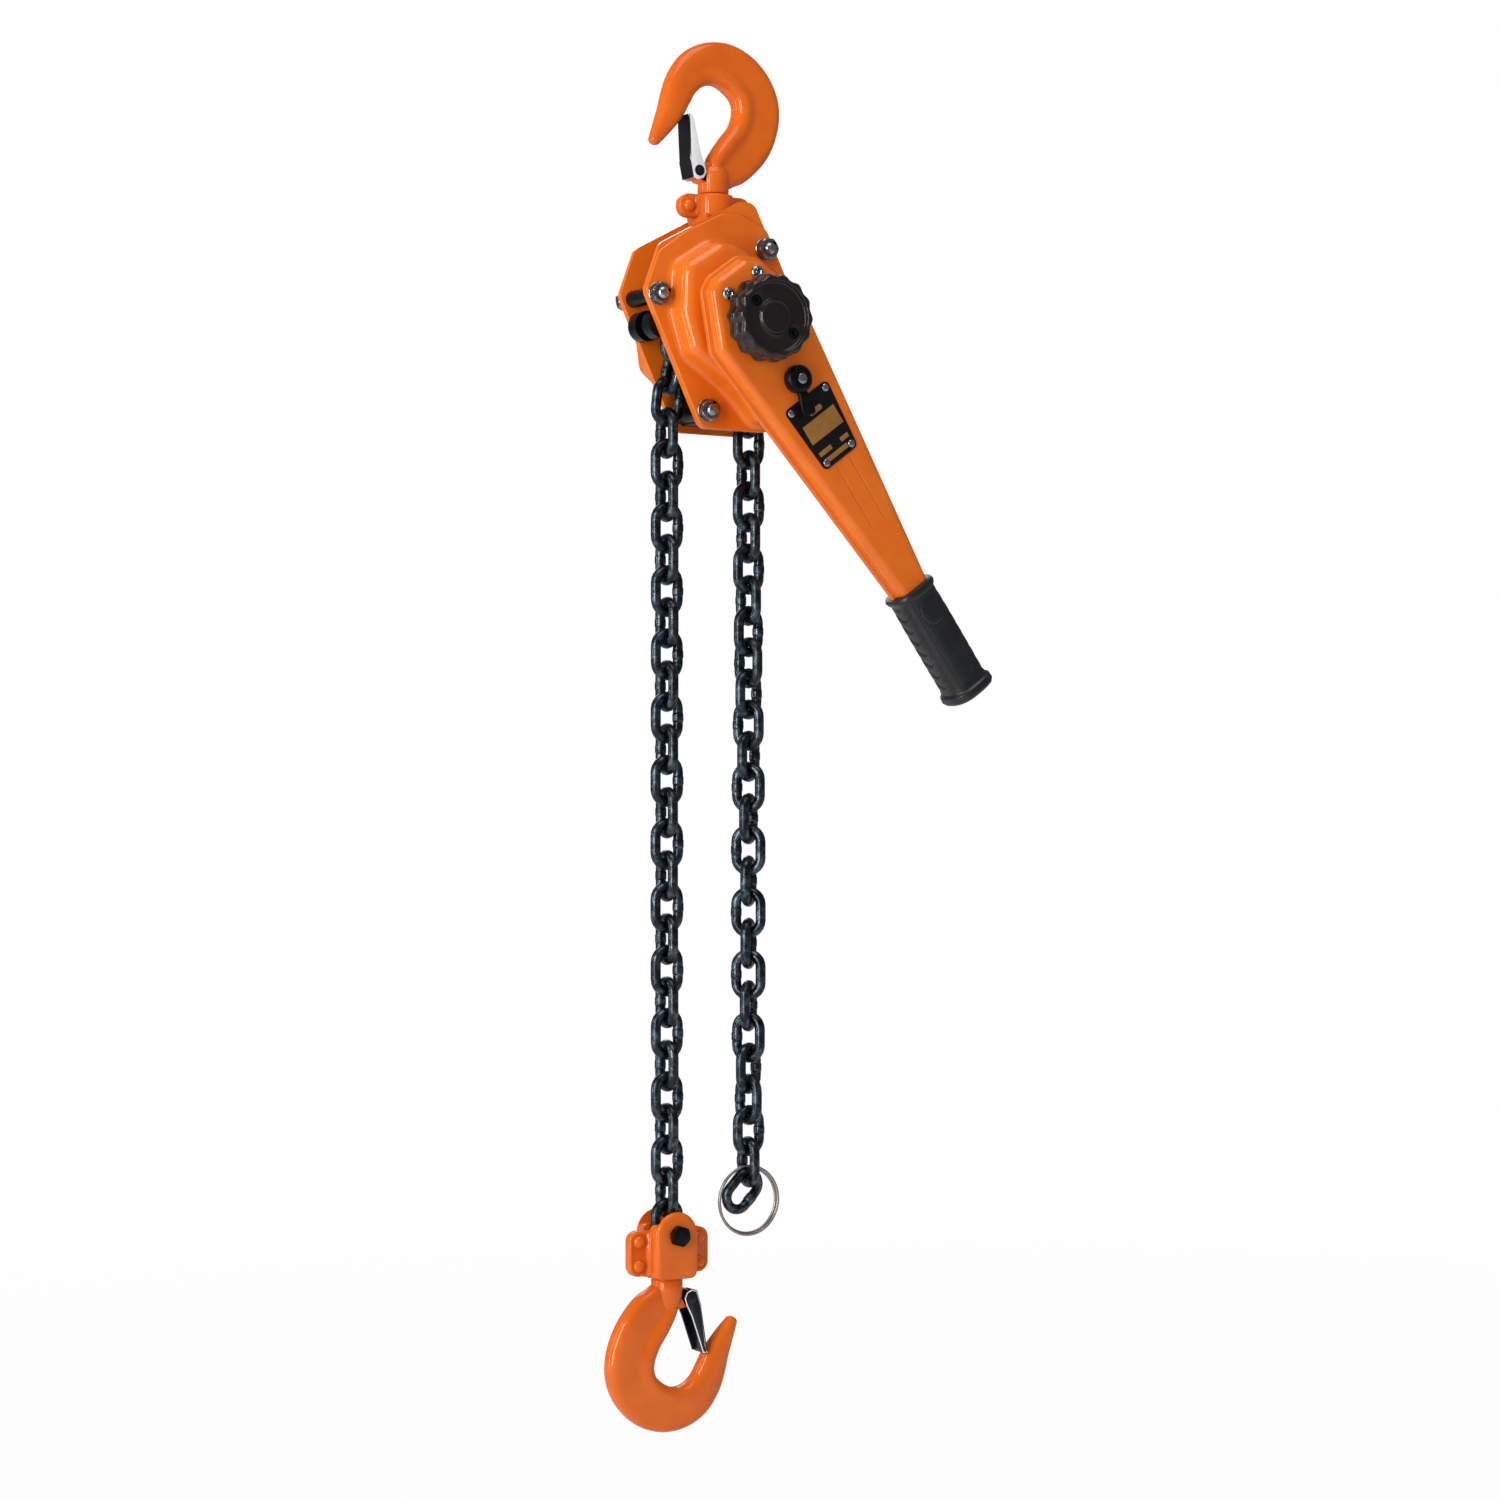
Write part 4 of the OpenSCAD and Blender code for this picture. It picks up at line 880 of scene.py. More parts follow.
@dataclass
class Fasteners:
    """Nuts, washers and domed ends of the stay bolts, and the nuts and screws of other pieces.

    Attributes:
        stay_places: Stay bolts about the sheave axis.
        rim_y: Y of the covers' rims, on which the washers bear.
        nut_flats: Size of the stay nuts across their flats.
        nut_height: Height of a stay nut with its washer.
        washer: Radius of a washer.
        bolt_radius: Radius of a stay bolt.
    """

    stay_places: tuple[Point, ...] = ((-76, 26), (41, 76), (-23, -81))
    rim_y: float = 28.5
    nut_flats: float = 19.0
    nut_height: float = 9.0
    washer: float = 11.0
    bolt_radius: float = 6.0

    def nut(
        self,
        shape: Shape,
        place: Point | Vector,
        flats: float,
        base: float,
        height: float,
        out: float,
        turn: float,
        lift: float = SHEAVE_Z,
        bore: float = 0.0,
    ) -> None:
        """Adds a hexagon nut or head with turned-off corners.

        Args:
            shape: The mesh to add to.
            place: Front-view place.
            flats: Size across the flats.
            base: Y of the face that bears.
            height: Height of the nut.
            out: Minus one towards the front, one towards the rear.
            turn: Turn of the hexagon in degrees.
            lift: Height added to the place.
            bore: Radius of a countersink at the outer face, nought for none.
        """
        corner = flats / 2 / cos(pi / 6)
        levels = [(0.0, flats / 2), (0.35, flats / 2 + 0.5), (0.9, corner), (height - 1.5, corner)]
        levels += [
            (height - 0.8, flats / 2 + 0.95), (height - 0.25, flats / 2 + 0.2), (height, flats / 2 - 0.35)
        ]
        rings = [
            front(moved(hexagon(flats, most=most, turn=turn), place), base + out * y, lift)
            for y, most in levels
        ]
        if bore:
            rings += [
                front(moved(circle(r, 72, radians(turn)), place), base + out * y, lift)
                for r, y in ((bore + 0.7, height), (bore, height - 0.7))
            ]
        shape.loft(rings)

    def socket_head(
        self,
        shape: Shape,
        place: Point | Vector,
        radius: float,
        flats: float,
        base: float,
        height: float,
        crown: float,
    ) -> None:
        """Adds a button head with a hexagon socket, facing the front.

        Args:
            shape: The mesh to add to.
            place: Front-view place about the sheave axis.
            radius: Radius of the head.
            flats: Socket size across the flats.
            base: Y of the head's underside.
            height: Height of the head.
            crown: How much of the height is domed.
        """
        arc = [(radius * cos(t), height - crown + crown * sin(t)) for t in (0.0, 0.3, 0.6, 0.9, 1.1)]
        rings = [circle(radius, 72)] + [circle(r, 72) for r, _ in arc]
        depths = [0.0] + [y for _, y in arc]
        rings += [hexagon(flats + 0.6), hexagon(flats), hexagon(flats * 0.96)]
        depths += [height - 0.05, height - 0.35, height - min(height - 0.4, 2.4)]
        shape.loft([front(moved(r, place), base - y) for r, y in zip(rings, depths)])

    def build(self) -> None:
        """Builds the stay bolts with their nuts and washers."""
        for side, body_name in ((-1, "front"), (1, "rear")):
            nuts = Shape(ZINC_DARK)
            for number, place in enumerate(self.stay_places):
                base = side * self.rim_y
                nuts.turn_y(
                    [
                        (6.2, base), (self.washer - 0.3, base), (self.washer, base + side * 0.4),
                        (self.washer, base + side * 1.2), (self.washer - 0.4, base + side * 1.6),
                        (6.2, base + side * 1.6)
                    ],
                    place, 48
                )
                self.nut(
                    nuts, place, self.nut_flats, base + side * 1.5, self.nut_height - 1.5, side,
                    10 + 23 * number, bore=self.bolt_radius + 0.15
                )
            nuts.place(f"stay_nuts_and_washers_{body_name}", Body.FRAME, f"stay_nuts_{body_name}")
        bolts = Shape(ZINC, BLACK_STEEL_AND_PAINTED_GAP_SHADE)
        end = self.rim_y + self.nut_height
        for place in self.stay_places:
            tip = [
                (0.0, end + 4.4), (2.6, end + 4.1), (4.6, end + 3.1), (5.6, end + 1.8), (5.95, end + 0.6),
                (5.95, 21.0)
            ]
            bolts.slot = 0
            bolts.turn_y(mirrored(tip), place, 40)
            # The spacer between the side plates takes the black finish: painted shade of the gap between the
            # plates.
            bolts.slot = 1
            bolts.turn_y(
                [(0, -20.9), (7.4, -20.9), (8.0, -20.3), (8.0, 20.3), (7.4, 20.9), (0, 20.9)], place, 40
            )
        bolts.place("stay_bolts_with_domed_ends", Body.FRAME, "stay_bolts")


@dataclass
class Chain:
    """Welded load chain: links alternate between lying and standing.

    Attributes:
        wire: Diameter of the wire.
        width: Outer width of a link.
        inside: Inner length of a link with its play.
        collar: How far the weld stands proud.
        collar_len: Length of the weld's collar.
        play: Play between the ends of two standing links.
        around: Points round the wire.
        fall_x, fall_top: Where the load fall starts.
        tail_x, tail_top: Where the tail fall starts.
        lead: Ends of the leaning links between the sheave and the load fall.
        pocket_radius: Radius of the chain's path on the sheave.
        phase_deg: Angle at which the load fall leaves the sheave.
        lying_deg, standing_deg: Angle that a lying and a standing link take on the sheave.
        lying_step, last_step: Length of path of a lying link, and of the tail fall's last link.
        last_tilt_deg: Tilt of the tail fall's last link.
        tail_twist_deg: Most that the tail fall winds.
    """

    wire: float = 9.8
    width: float = 34.0
    inside: float = 30.2
    collar: float = 0.5
    collar_len: float = 7.0
    play: float = 0.4
    around: int = 18
    fall_x: float = FALL_X
    fall_top: float = -314.116
    tail_x: float = 39.5145
    tail_top: float = -230.929
    pocket_radius: float = 39.5687
    phase_deg: float = 183.0
    lead: tuple[Point, ...] = ((-39.51, -235.07), (-40.51, -255.05), (-48.51, -294.24))
    lying_deg: float = 60.72
    standing_deg: float = 29.28
    lying_step: float = 40.0
    last_step: float = 20.0
    last_tilt_deg: float = 44.0
    tail_twist_deg: float = 44.0

    def template(self) -> bpy.types.Mesh:
        """Sweeps the wire round one link, centred, its length along Z.

        Returns:
            The link's mesh.
        """
        arc = (self.width - self.wire) / 2
        leg = self.inside / 2 - (arc - self.wire / 2)
        stations: list[tuple[float, float, float, float]] = []
        for z in (-leg, -5.2, -4.3, -3.7, -3.1, -1.6, 1.6, 3.1, 3.7, 4.3, 5.2):
            stations.append((arc, z, 0.0, self.collar * (1 - ease(abs(z), 2.9, self.collar_len / 2 + 0.9))))
        for k in range(13):
            turn = pi * k / 12
            stations.append((arc * cos(turn), leg + arc * sin(turn), turn, 0.0))
        stations += [(-arc, z, pi, 0.0) for z in (3.0, -3.0)]
        for k in range(12):
            turn = pi + pi * k / 12
            stations.append((arc * cos(turn), -leg + arc * sin(turn), turn, 0.0))
        rings = []
        for x, z, turn, proud in stations:
            out = Vector((cos(turn), 0, sin(turn)))
            radius = self.wire / 2 + proud
            section = [(2 * pi * i / self.around) for i in range(self.around)]
            rings.append(
                [Vector((x, 0, z)) + radius * (out * cos(f) + Vector((0, sin(f), 0))) for f in section]
            )
        shape = Shape()
        shape.loft(rings + [rings[0]], (False, False))
        bmesh.ops.remove_doubles(shape.bm, verts=shape.bm.verts, dist=WELD_MM)
        mesh = bpy.data.meshes.new("link_template")
        shape.bm.to_mesh(mesh)
        shape.bm.free()
        return mesh

    def at(self, a: Vector, b: Vector, turn_deg: float) -> Matrix:
        """Place of a link between two front-view points.

        Args:
            a: Its upper end on the chain's path.
            b: Its lower end.
            turn_deg: Turn about its own length, ninety when it lies.

        Returns:
            The link's matrix.
        """
        middle = (a + b) / 2
        lean = atan2(b.x - a.x, a.y - b.y)
        return (
            Matrix.Translation((middle.x, 0, middle.y))
            @ Matrix.Rotation(-lean, 4, "Y")
            @ Matrix.Rotation(radians(turn_deg), 4, "Z")
        )

    def run(
        self,
        name: str,
        body: Body,
        nodes: Iterable[Vector],
        lying_first: bool,
        replaced: str,
        twist: Callable[[float], float] | None = None,
    ) -> None:
        """Builds one rigid run of links.

        Args:
            name: The piece's name.
            body: The body that carries it.
            nodes: Points of the path between links.
            lying_first: Whether the first link lies.
            replaced: The CAD node it stands for.
            twist: Extra turn in degrees by height.
        """
        shape = Shape(CHAIN)
        path = list(nodes)
        for number, (a, b) in enumerate(zip(path, path[1:])):
            lying = (number % 2 == 0) == lying_first
            wobble = 1.6 * sin(12.9898 * number + path[0].x)
            extra = twist((a.y + b.y) / 2) if twist else 0.0
            shape.join(self.link, self.at(a, b, (90.0 if lying else 0.0) + wobble + extra))
        shape.place(name, body, replaced, sharp=60)

    def path(self, start: Vector, steps: str) -> list[Vector]:
        """Runs the path straight down.

        Args:
            start: Where it starts.
            steps: Its links: L for a lying one, S for a standing one.

        Returns:
            The points between links.
        """
        nodes = [start]
        for step in steps:
            drop = self.inside + self.wire if step == "L" else self.inside - self.wire - self.play
            nodes.append(nodes[-1] - Vector((0, drop)))
        return nodes

    def tail_twist(self, z: float) -> float:
        """Turn of the tail fall by height: it winds slowly and comes back before the ring."""
        return self.tail_twist_deg * ease(-z, 380, 800) * (1 - ease(-z, 860, 1030))

    def build(self) -> None:
        """Builds both falls and the links over the sheave."""
        self.link = self.template()
        over: list[tuple[Vector, Vector, bool]] = []
        lying, standing = self.lying_deg, self.standing_deg
        for k in (0, 1):
            a = self.phase_deg - 90 * k
            over.append((self.on_sheave(a - lying), self.on_sheave(a), True))
            over.append((self.on_sheave(a - lying - standing), self.on_sheave(a - lying), False))
        shape = Shape(CHAIN)
        for a, b, lies in over:
            shape.join(self.link, self.at(a, b, 90.0 if lies else 0.0))
        shape.place("links_over_the_sheave", Body.SHEAVE, "wrapped_chain", sharp=60)
        lead = [Vector(p) for p in (*self.lead, (self.fall_x, self.fall_top))]
        lead.append(lead[-1] - Vector((0, self.lying_step)))
        self.run("load_fall_leading_links", Body.LOAD_LEAD, lead, False, "load_chain_upper")
        self.run("load_fall", Body.LOAD_FALL, self.path(lead[-1], "S" + "LS" * 12), False, "load_chain")
        top = self.path(Vector((self.tail_x, self.tail_top)), "LSL")
        self.run("tail_fall_leading_links", Body.TAIL_LEAD, top, True, "tail_chain_upper")
        tail = self.path(top[-1], "S" + "LS" * 11 + "L")
        self.run("tail_fall", Body.TAIL_FALL, tail, False, "tail_chain", self.tail_twist)
        tilt = radians(self.last_tilt_deg)
        end = [tail[-1], tail[-1] - self.last_step * Vector((sin(tilt), cos(tilt)))]
        self.run("tail_fall_last_link", Body.TAIL_END, end, False, "tail_end_link")

    def on_sheave(self, degrees: float) -> Vector:
        """Point of the chain's path on the sheave."""
        a = radians(degrees)
        return Vector((self.pocket_radius * cos(a), self.pocket_radius * sin(a) + SHEAVE_Z))


@dataclass
class Hook:
    """Drop-forged swivel hook with a raised bead round its bowl.

    Attributes:
        name: The piece's name.
        body: The body that carries it.
        node: The CAD node it stands for.
        matrix: Place of the hook.
        shift: Sideways shift of the bowl.
        latch_at: Centre of the latch's eye.
        shank_end: Outline of the shank's blend into the bowl: radius and height, from its point outwards.
        shank_z: Height at which the shank meets the bowl's blend.
        around: Points round the bowl's section.
        steps: Sections made for each station.
        half_width: Half of a section's width, less a hair.
        stations: Centre line about the saddle: across, up, width, thickness, share of the shift and
            weight of the bead.
    """

    name: str
    body: Body
    node: str
    matrix: Matrix
    shift: float = 0.0
    latch_at: Point = LATCH_EYE
    shank_z: float = -104.0
    around: int = 52
    steps: int = 5
    half_width: float = 0.4975
    shank_end: tuple[Point, ...] = ((0, 29.5), (5, 28.9), (9.5, 27.0), (12.6, 24.2), (14.4, 20.6), (15, 16.6))
    stations: tuple[tuple[float, ...], ...] = (
        (1.5, -98, 22, 19, 0, 0.4), (4, -91, 30, 22, 0, 0.6), (11, -80, 42, 25, 0.2, 0.9),
        (24, -67, 49, 26, 0.6, 1), (38, -51, 50.5, 26, 1, 1), (45.5, -33, 50.5, 26, 1, 1),
        (46.5, -16, 50, 26, 1, 1), (40, 0, 48, 26, 1, 1), (27, 12.5, 47, 26, 1, 1),
        (11, 19.5, 44.5, 26, 1, 0.85), (-6, 20, 41, 25, 1, 0.6), (-22, 13.5, 38, 24, 1, 0.3),
        (-34, 1, 34, 23, 1, 0.1), (-41, -13, 31, 22, 1, 0), (-47, -27.5, 27, 20, 1, 0),
        (-54.2, -40.5, 21, 17.5, 1, 0), (-60.2, -50.5, 15.6, 15, 1, 0), (-64.6, -57.4, 11.6, 12, 1, 0),
    )

    def half_thickness(self, u: float, bead: float) -> float:
        """Half thickness of the section from its inner edge, minus one, to its outer edge, one.

        Args:
            u: Place across the section.
            bead: Weight of the beaded, flat-webbed section against the plain oval one.

        Returns:
            Share of the full half thickness.
        """
        oval = max(0.0, 1 - abs(u) ** 2.5) ** 0.42
        if u < -0.6:
            beaded = sqrt(max(0.0, 1 - ((u + 0.6) / 0.4) ** 2))
        elif u < -0.16:
            beaded = 0.78 + 0.22 * (0.5 + 0.5 * cos(pi * (u + 0.6) / 0.44))
        elif u < 0.62:
            beaded = 0.78
        else:
            beaded = 0.78 * max(0.0, 1 - ((u - 0.62) / 0.38) ** 2.3) ** (1 / 2.3)
        return oval * (1 - bead) + beaded * bead

    def build(self) -> None:
        """Lofts the bowl and turns the shank, the neck and the head above it."""
        shape = Shape(ORANGE_FORGED)
        rows = smooth_through(
            [[s[0] - self.shift * s[4], s[1], s[2], s[3], s[5]] for s in self.stations], self.steps
        )
        rings = []
        for k, (x, z, width, thick, bead) in enumerate(rows):
            before, after = rows[max(0, k - 1)], rows[min(len(rows) - 1, k + 1)]
            ahead = unit(Vector((after[0] - before[0], after[1] - before[1])))
            across = Vector((-ahead.y, ahead.x))
            ring = []
            for i in range(self.around):
                f = 2 * pi * i / self.around
                u = -cos(f)
                place = Vector((x, z)) - across * width * self.half_width * u
                depth = thick / 2 * self.half_thickness(u, clamp(bead))
                ring.append(
                    Vector((place.x, -copysign(depth, sin(f)) if abs(sin(f)) > 1e-9 else 0.0, place.y))
                )
            rings.append(ring)
        tip = rings[-1]
        middle = sum(tip, Vector()) / len(tip)
        step = unit(Vector((rows[-1][0] - rows[-2][0], 0, rows[-1][1] - rows[-2][1])))
        for ahead_mm, scale in ((1.5, 0.95), (2.9, 0.8), (3.9, 0.55), (4.3, 0.25)):
            rings.append([middle + (p - middle) * scale + step * ahead_mm for p in tip])
        shape.loft(rings)
        shape.turn(
            [*self.shank_end, (15, 1.2), (14.2, 0), (10, 0), (10, -11), (15.2, -11.6),
             (16.5, -12.8), (16.5, -20.6), (15.2, -21.4), (0, -21.4)],
            Vector((0, 0, self.shank_z)), Vector((0, 0, 1)), 56,
        )
        eye = [(0, -8.55), (6.1, -8.55), (6.8, -7.9), (6.8, 7.9), (6.1, 8.55), (0, 8.55)]
        shape.turn_y(eye, self.latch_at, 40, 0.0)
        web = [(-20, -93), (-2, -97), (-2, -74), (-18, -76)]
        shape.slab(lambda d: rounded(inset(web, d), 3.0, 3), [(1, -8.5), (0, -7.5), (0, 7.5), (1, 8.5)], 0.0)
        bmesh.ops.transform(shape.bm, matrix=self.matrix, verts=shape.bm.verts)
        shape.place(self.name, self.body, self.node, sharp=40)


@dataclass
class Latch:
    """Safety latch folded from sheet: a spine, two cheeks round the hook's eye and a pin.

    Attributes:
        name: The piece's name.
        body: The body that carries it.
        nodes: The CAD nodes of the latch and of its pin.
        matrix: Place of the hook it belongs to.
        pin_body: The body that carries the pin.
        shift: Sideways shift of the hook's bowl.
        painted_shade_cheeks: Whether the cheeks are painted dark as shade, inside a rim painted bright as a
            highlight.
        foot: The pivot.
        tip: The free end, before the shift.
    """

    name: str
    body: Body
    nodes: tuple[str, str]
    matrix: Matrix
    pin_body: Body
    shift: float = 0.0
    painted_shade_cheeks: bool = False
    foot: Point = LATCH_EYE
    tip: Point = (-32.5, -31.0)

    def build(self) -> None:
        """Folds the latch and turns its pin."""
        foot, tip = Vector(self.foot), Vector(self.tip) - Vector((self.shift * 0.9, 0))
        d = unit(tip - foot)
        s = Vector((-d.y, d.x))
        shape = Shape(LATCH_PAINTED_LIT, LATCH_PAINTED_SHADE_AND_DARK_PIN)
        cheek = [
            foot + s * 7.6 - d * 5, foot + s * 7.6 + d * 12, tip + s * 0.8 - d * 8, tip + s * 0.8,
            tip - s * 4 - d * 2, foot - s * 5 + d * 16, foot - s * 7 + d * 4, foot - s * 7 - d * 3,
            foot - s * 3 - d * 7.5, foot + s * 3 - d * 8,
        ]
        # The cheeks take the painted-lit copy on the top latch. On the load latch they take the painted-shade
        # copy, and their bevelled rims take the painted-lit copy as a painted highlight.
        shape.slot = int(self.painted_shade_cheeks)
        for inner, outer in ((-9.0, -11.0), (9.0, 11.0)):
            walls = [(0.25, inner), (0.0, inner * 1.02), (0.0, outer * 0.97), (0.9, outer)]
            shape.slab(partial(inset, cheek[::-1]), walls, 0.0)
        for face in shape.bm.faces:
            if self.painted_shade_cheeks and {abs(v.co.y) > 10.9 for v in face.verts} == {True, False}:
                face.material_index = 0
        # The spine, heel and lip folds take the painted-shade copy: painted shade on the folds.
        shape.slot = 1
        spine = [
            foot + s * 8 + d * 11, tip + s * 1 - d * 0.5, tip - s * 1.5 - d * 0.5, foot + s * 5.4 + d * 11
        ]
        heel = [
            foot + s * 8.2 - d * 5.5, foot + s * 8.1 + d * 11.5, foot + s * 7.0 + d * 11.5,
            foot + s * 7.35 - d * 4.9
        ]
        lip = [tip + s * 1 - d * 4, tip + s * 1.0, tip - s * 1.8, tip - s * 1.8 - d * 4]
        for fold, edge in (
            (spine, [(0.9, -10.95), (0.35, -10.6), (0.05, -9.9), (0.0, -8.6)]),
            (heel, [(0.3, -10.9), (0.0, -10.4)]),
            (lip, [(0.7, -10.9), (0.1, -10.0)]),
        ):
            shape.slab(partial(inset, fold[::-1]), edge + [(depth, -y) for depth, y in reversed(edge)], 0.0)
        bmesh.ops.transform(shape.bm, matrix=self.matrix, verts=shape.bm.verts)
        shape.place(self.name, self.body, self.nodes[0], sharp=30)
        pin = Shape(LATCH_PAINTED_SHADE_AND_DARK_PIN)
        end = [
            (0.0, 12.9), (1.8, 12.7), (2.6, 12.3), (2.9, 11.7), (4.4, 11.6), (5.2, 11.4), (5.3, 11.1),
            (2.5, 11.05)
        ]
        pin.turn_y(mirrored(end), self.foot, 32, 0.0)
        bmesh.ops.transform(pin.bm, matrix=self.matrix, verts=pin.bm.verts)
        pin.place(self.name + "_pin", self.pin_body, self.nodes[1])


@dataclass
class PressedCover:
    """Deep-drawn cover: a flat rim on the side plate and a hollow dome with soft corners.

    Attributes:
        name: The piece's name.
        node: The CAD node it stands for.
        side: Minus one for the front, one for the rear.
        dome: Corners of the dome about the sheave axis.
        depth: Height of the dome over the side plate.
        plate_y: Y of the side plate's outer face.
        wall: Sheet thickness.
        corner, dome_corner: Corner radii of the rim and of the dome.
        crown, flare: Radii at the top of the dome and at its foot.
        steps: Points round the cover.
        rim: Corners of the rim about the sheave axis.
    """

    name: str
    node: str
    side: int
    dome: tuple[Point, ...]
    depth: float
    plate_y: float = 26.0
    wall: float = 2.5
    corner: float = 12.0
    dome_corner: float = 18.0
    crown: float = 11.0
    flare: float = 6.0
    steps: int = 288
    rim: tuple[Point, ...] = (
        (-89.5, 29), (-29, -98), (45, -99), (95, -10), (43, 95), (14, 107.5), (-5, 107.5), (-46, 87.5),
        (-75, 67)
    )

    def sampled(self, outline: Sequence[Vector]) -> list[Vector]:
        """Samples an outline about the sheave axis at even angles.

        Args:
            outline: Points round the axis, anticlockwise.

        Returns:
            One point for each angle.
        """
        angles = [atan2(p.y, p.x) % (2 * pi) for p in outline]
        start = angles.index(min(angles))
        points = [outline[(start + k) % len(outline)] for k in range(len(outline))]
        angles = [angles[(start + k) % len(outline)] for k in range(len(outline))]
        points.append(points[0])
        angles.append(angles[0] + 2 * pi)
        samples = []
        for k in range(self.steps):
            a = 2 * pi * k / self.steps
            a += 2 * pi if a < angles[0] else 0.0
            side = min(bisect.bisect_right(angles, a) - 1, len(points) - 2)
            p, q = points[side], points[side + 1]
            ray = Vector((cos(a), sin(a)))
            along = q - p
            cross = ray.x * along.y - ray.y * along.x
            share = (ray.y * p.x - ray.x * p.y) / cross if abs(cross) > 1e-9 else 0.0
            samples.append(p + along * clamp(share))
        return samples

    def dome_ring(self, depth: float) -> list[Vector]:
        """Dome outline moved inwards by a distance and sampled."""
        return self.sampled(
            rounded(inset(self.dome, depth), max(3.0, self.dome_corner - max(0.0, depth)), 10)
        )

    def rim_ring(self, depth: float) -> list[Vector]:
        """Rim outline moved inwards by a distance and sampled."""
        return self.sampled(rounded(inset(self.rim, depth), max(3.0, self.corner - depth), 8))

    def build(self) -> None:
        """Draws the sheet from the inside of the dome, round the rim and up to its crown."""
        w, c, f, top = self.wall, self.crown, self.flare, self.depth
        levels: list[tuple[str, float, float]] = [
            ("dome", w + 8.0, top - w), ("dome", w + 2.0, top - w - 2.5), ("dome", w, top - w - 9),
            ("dome", w, 0.0)
        ]
        levels += [
            ("rim", 0.5, 0.0), ("rim", 0.0, 0.5), ("rim", 0.0, w - 1.3), ("rim", 0.25, w - 0.5),
            ("rim", 0.9, w - 0.08), ("rim", 1.5, w), ("rim", 2.1, w)
        ]
        levels += [("dome", -f - 0.8, w)]
        levels += [
            ("dome", -f * (1 - sin(t)), w + f * (1 - cos(t))) for t in (k / 6 * pi / 2 for k in range(7))
        ]
        levels += [
            ("dome", 0.5 + c * (1 - cos(t)), top - c + c * sin(t))
            for t in (k / 9 * pi / 2 for k in range(10))
        ]
        edge = self.rim_ring(2.4)
        rings = []
        for kind, depth, height in levels:
            outline = self.rim_ring(depth) if kind == "rim" else self.dome_ring(depth)
            if kind == "dome" and depth <= 0:
                outline = [
                    p * min(1.0, (limit.length - 0.1 * (depth + f + 1)) / p.length)
                    for p, limit in zip(outline, edge)
                ]
            rings.append(front(outline, self.side * (self.plate_y + height)))
        shape = Shape(ORANGE)
        shape.loft(rings)
        shape.place(self.name, Body.FRAME, self.node, sharp=50)


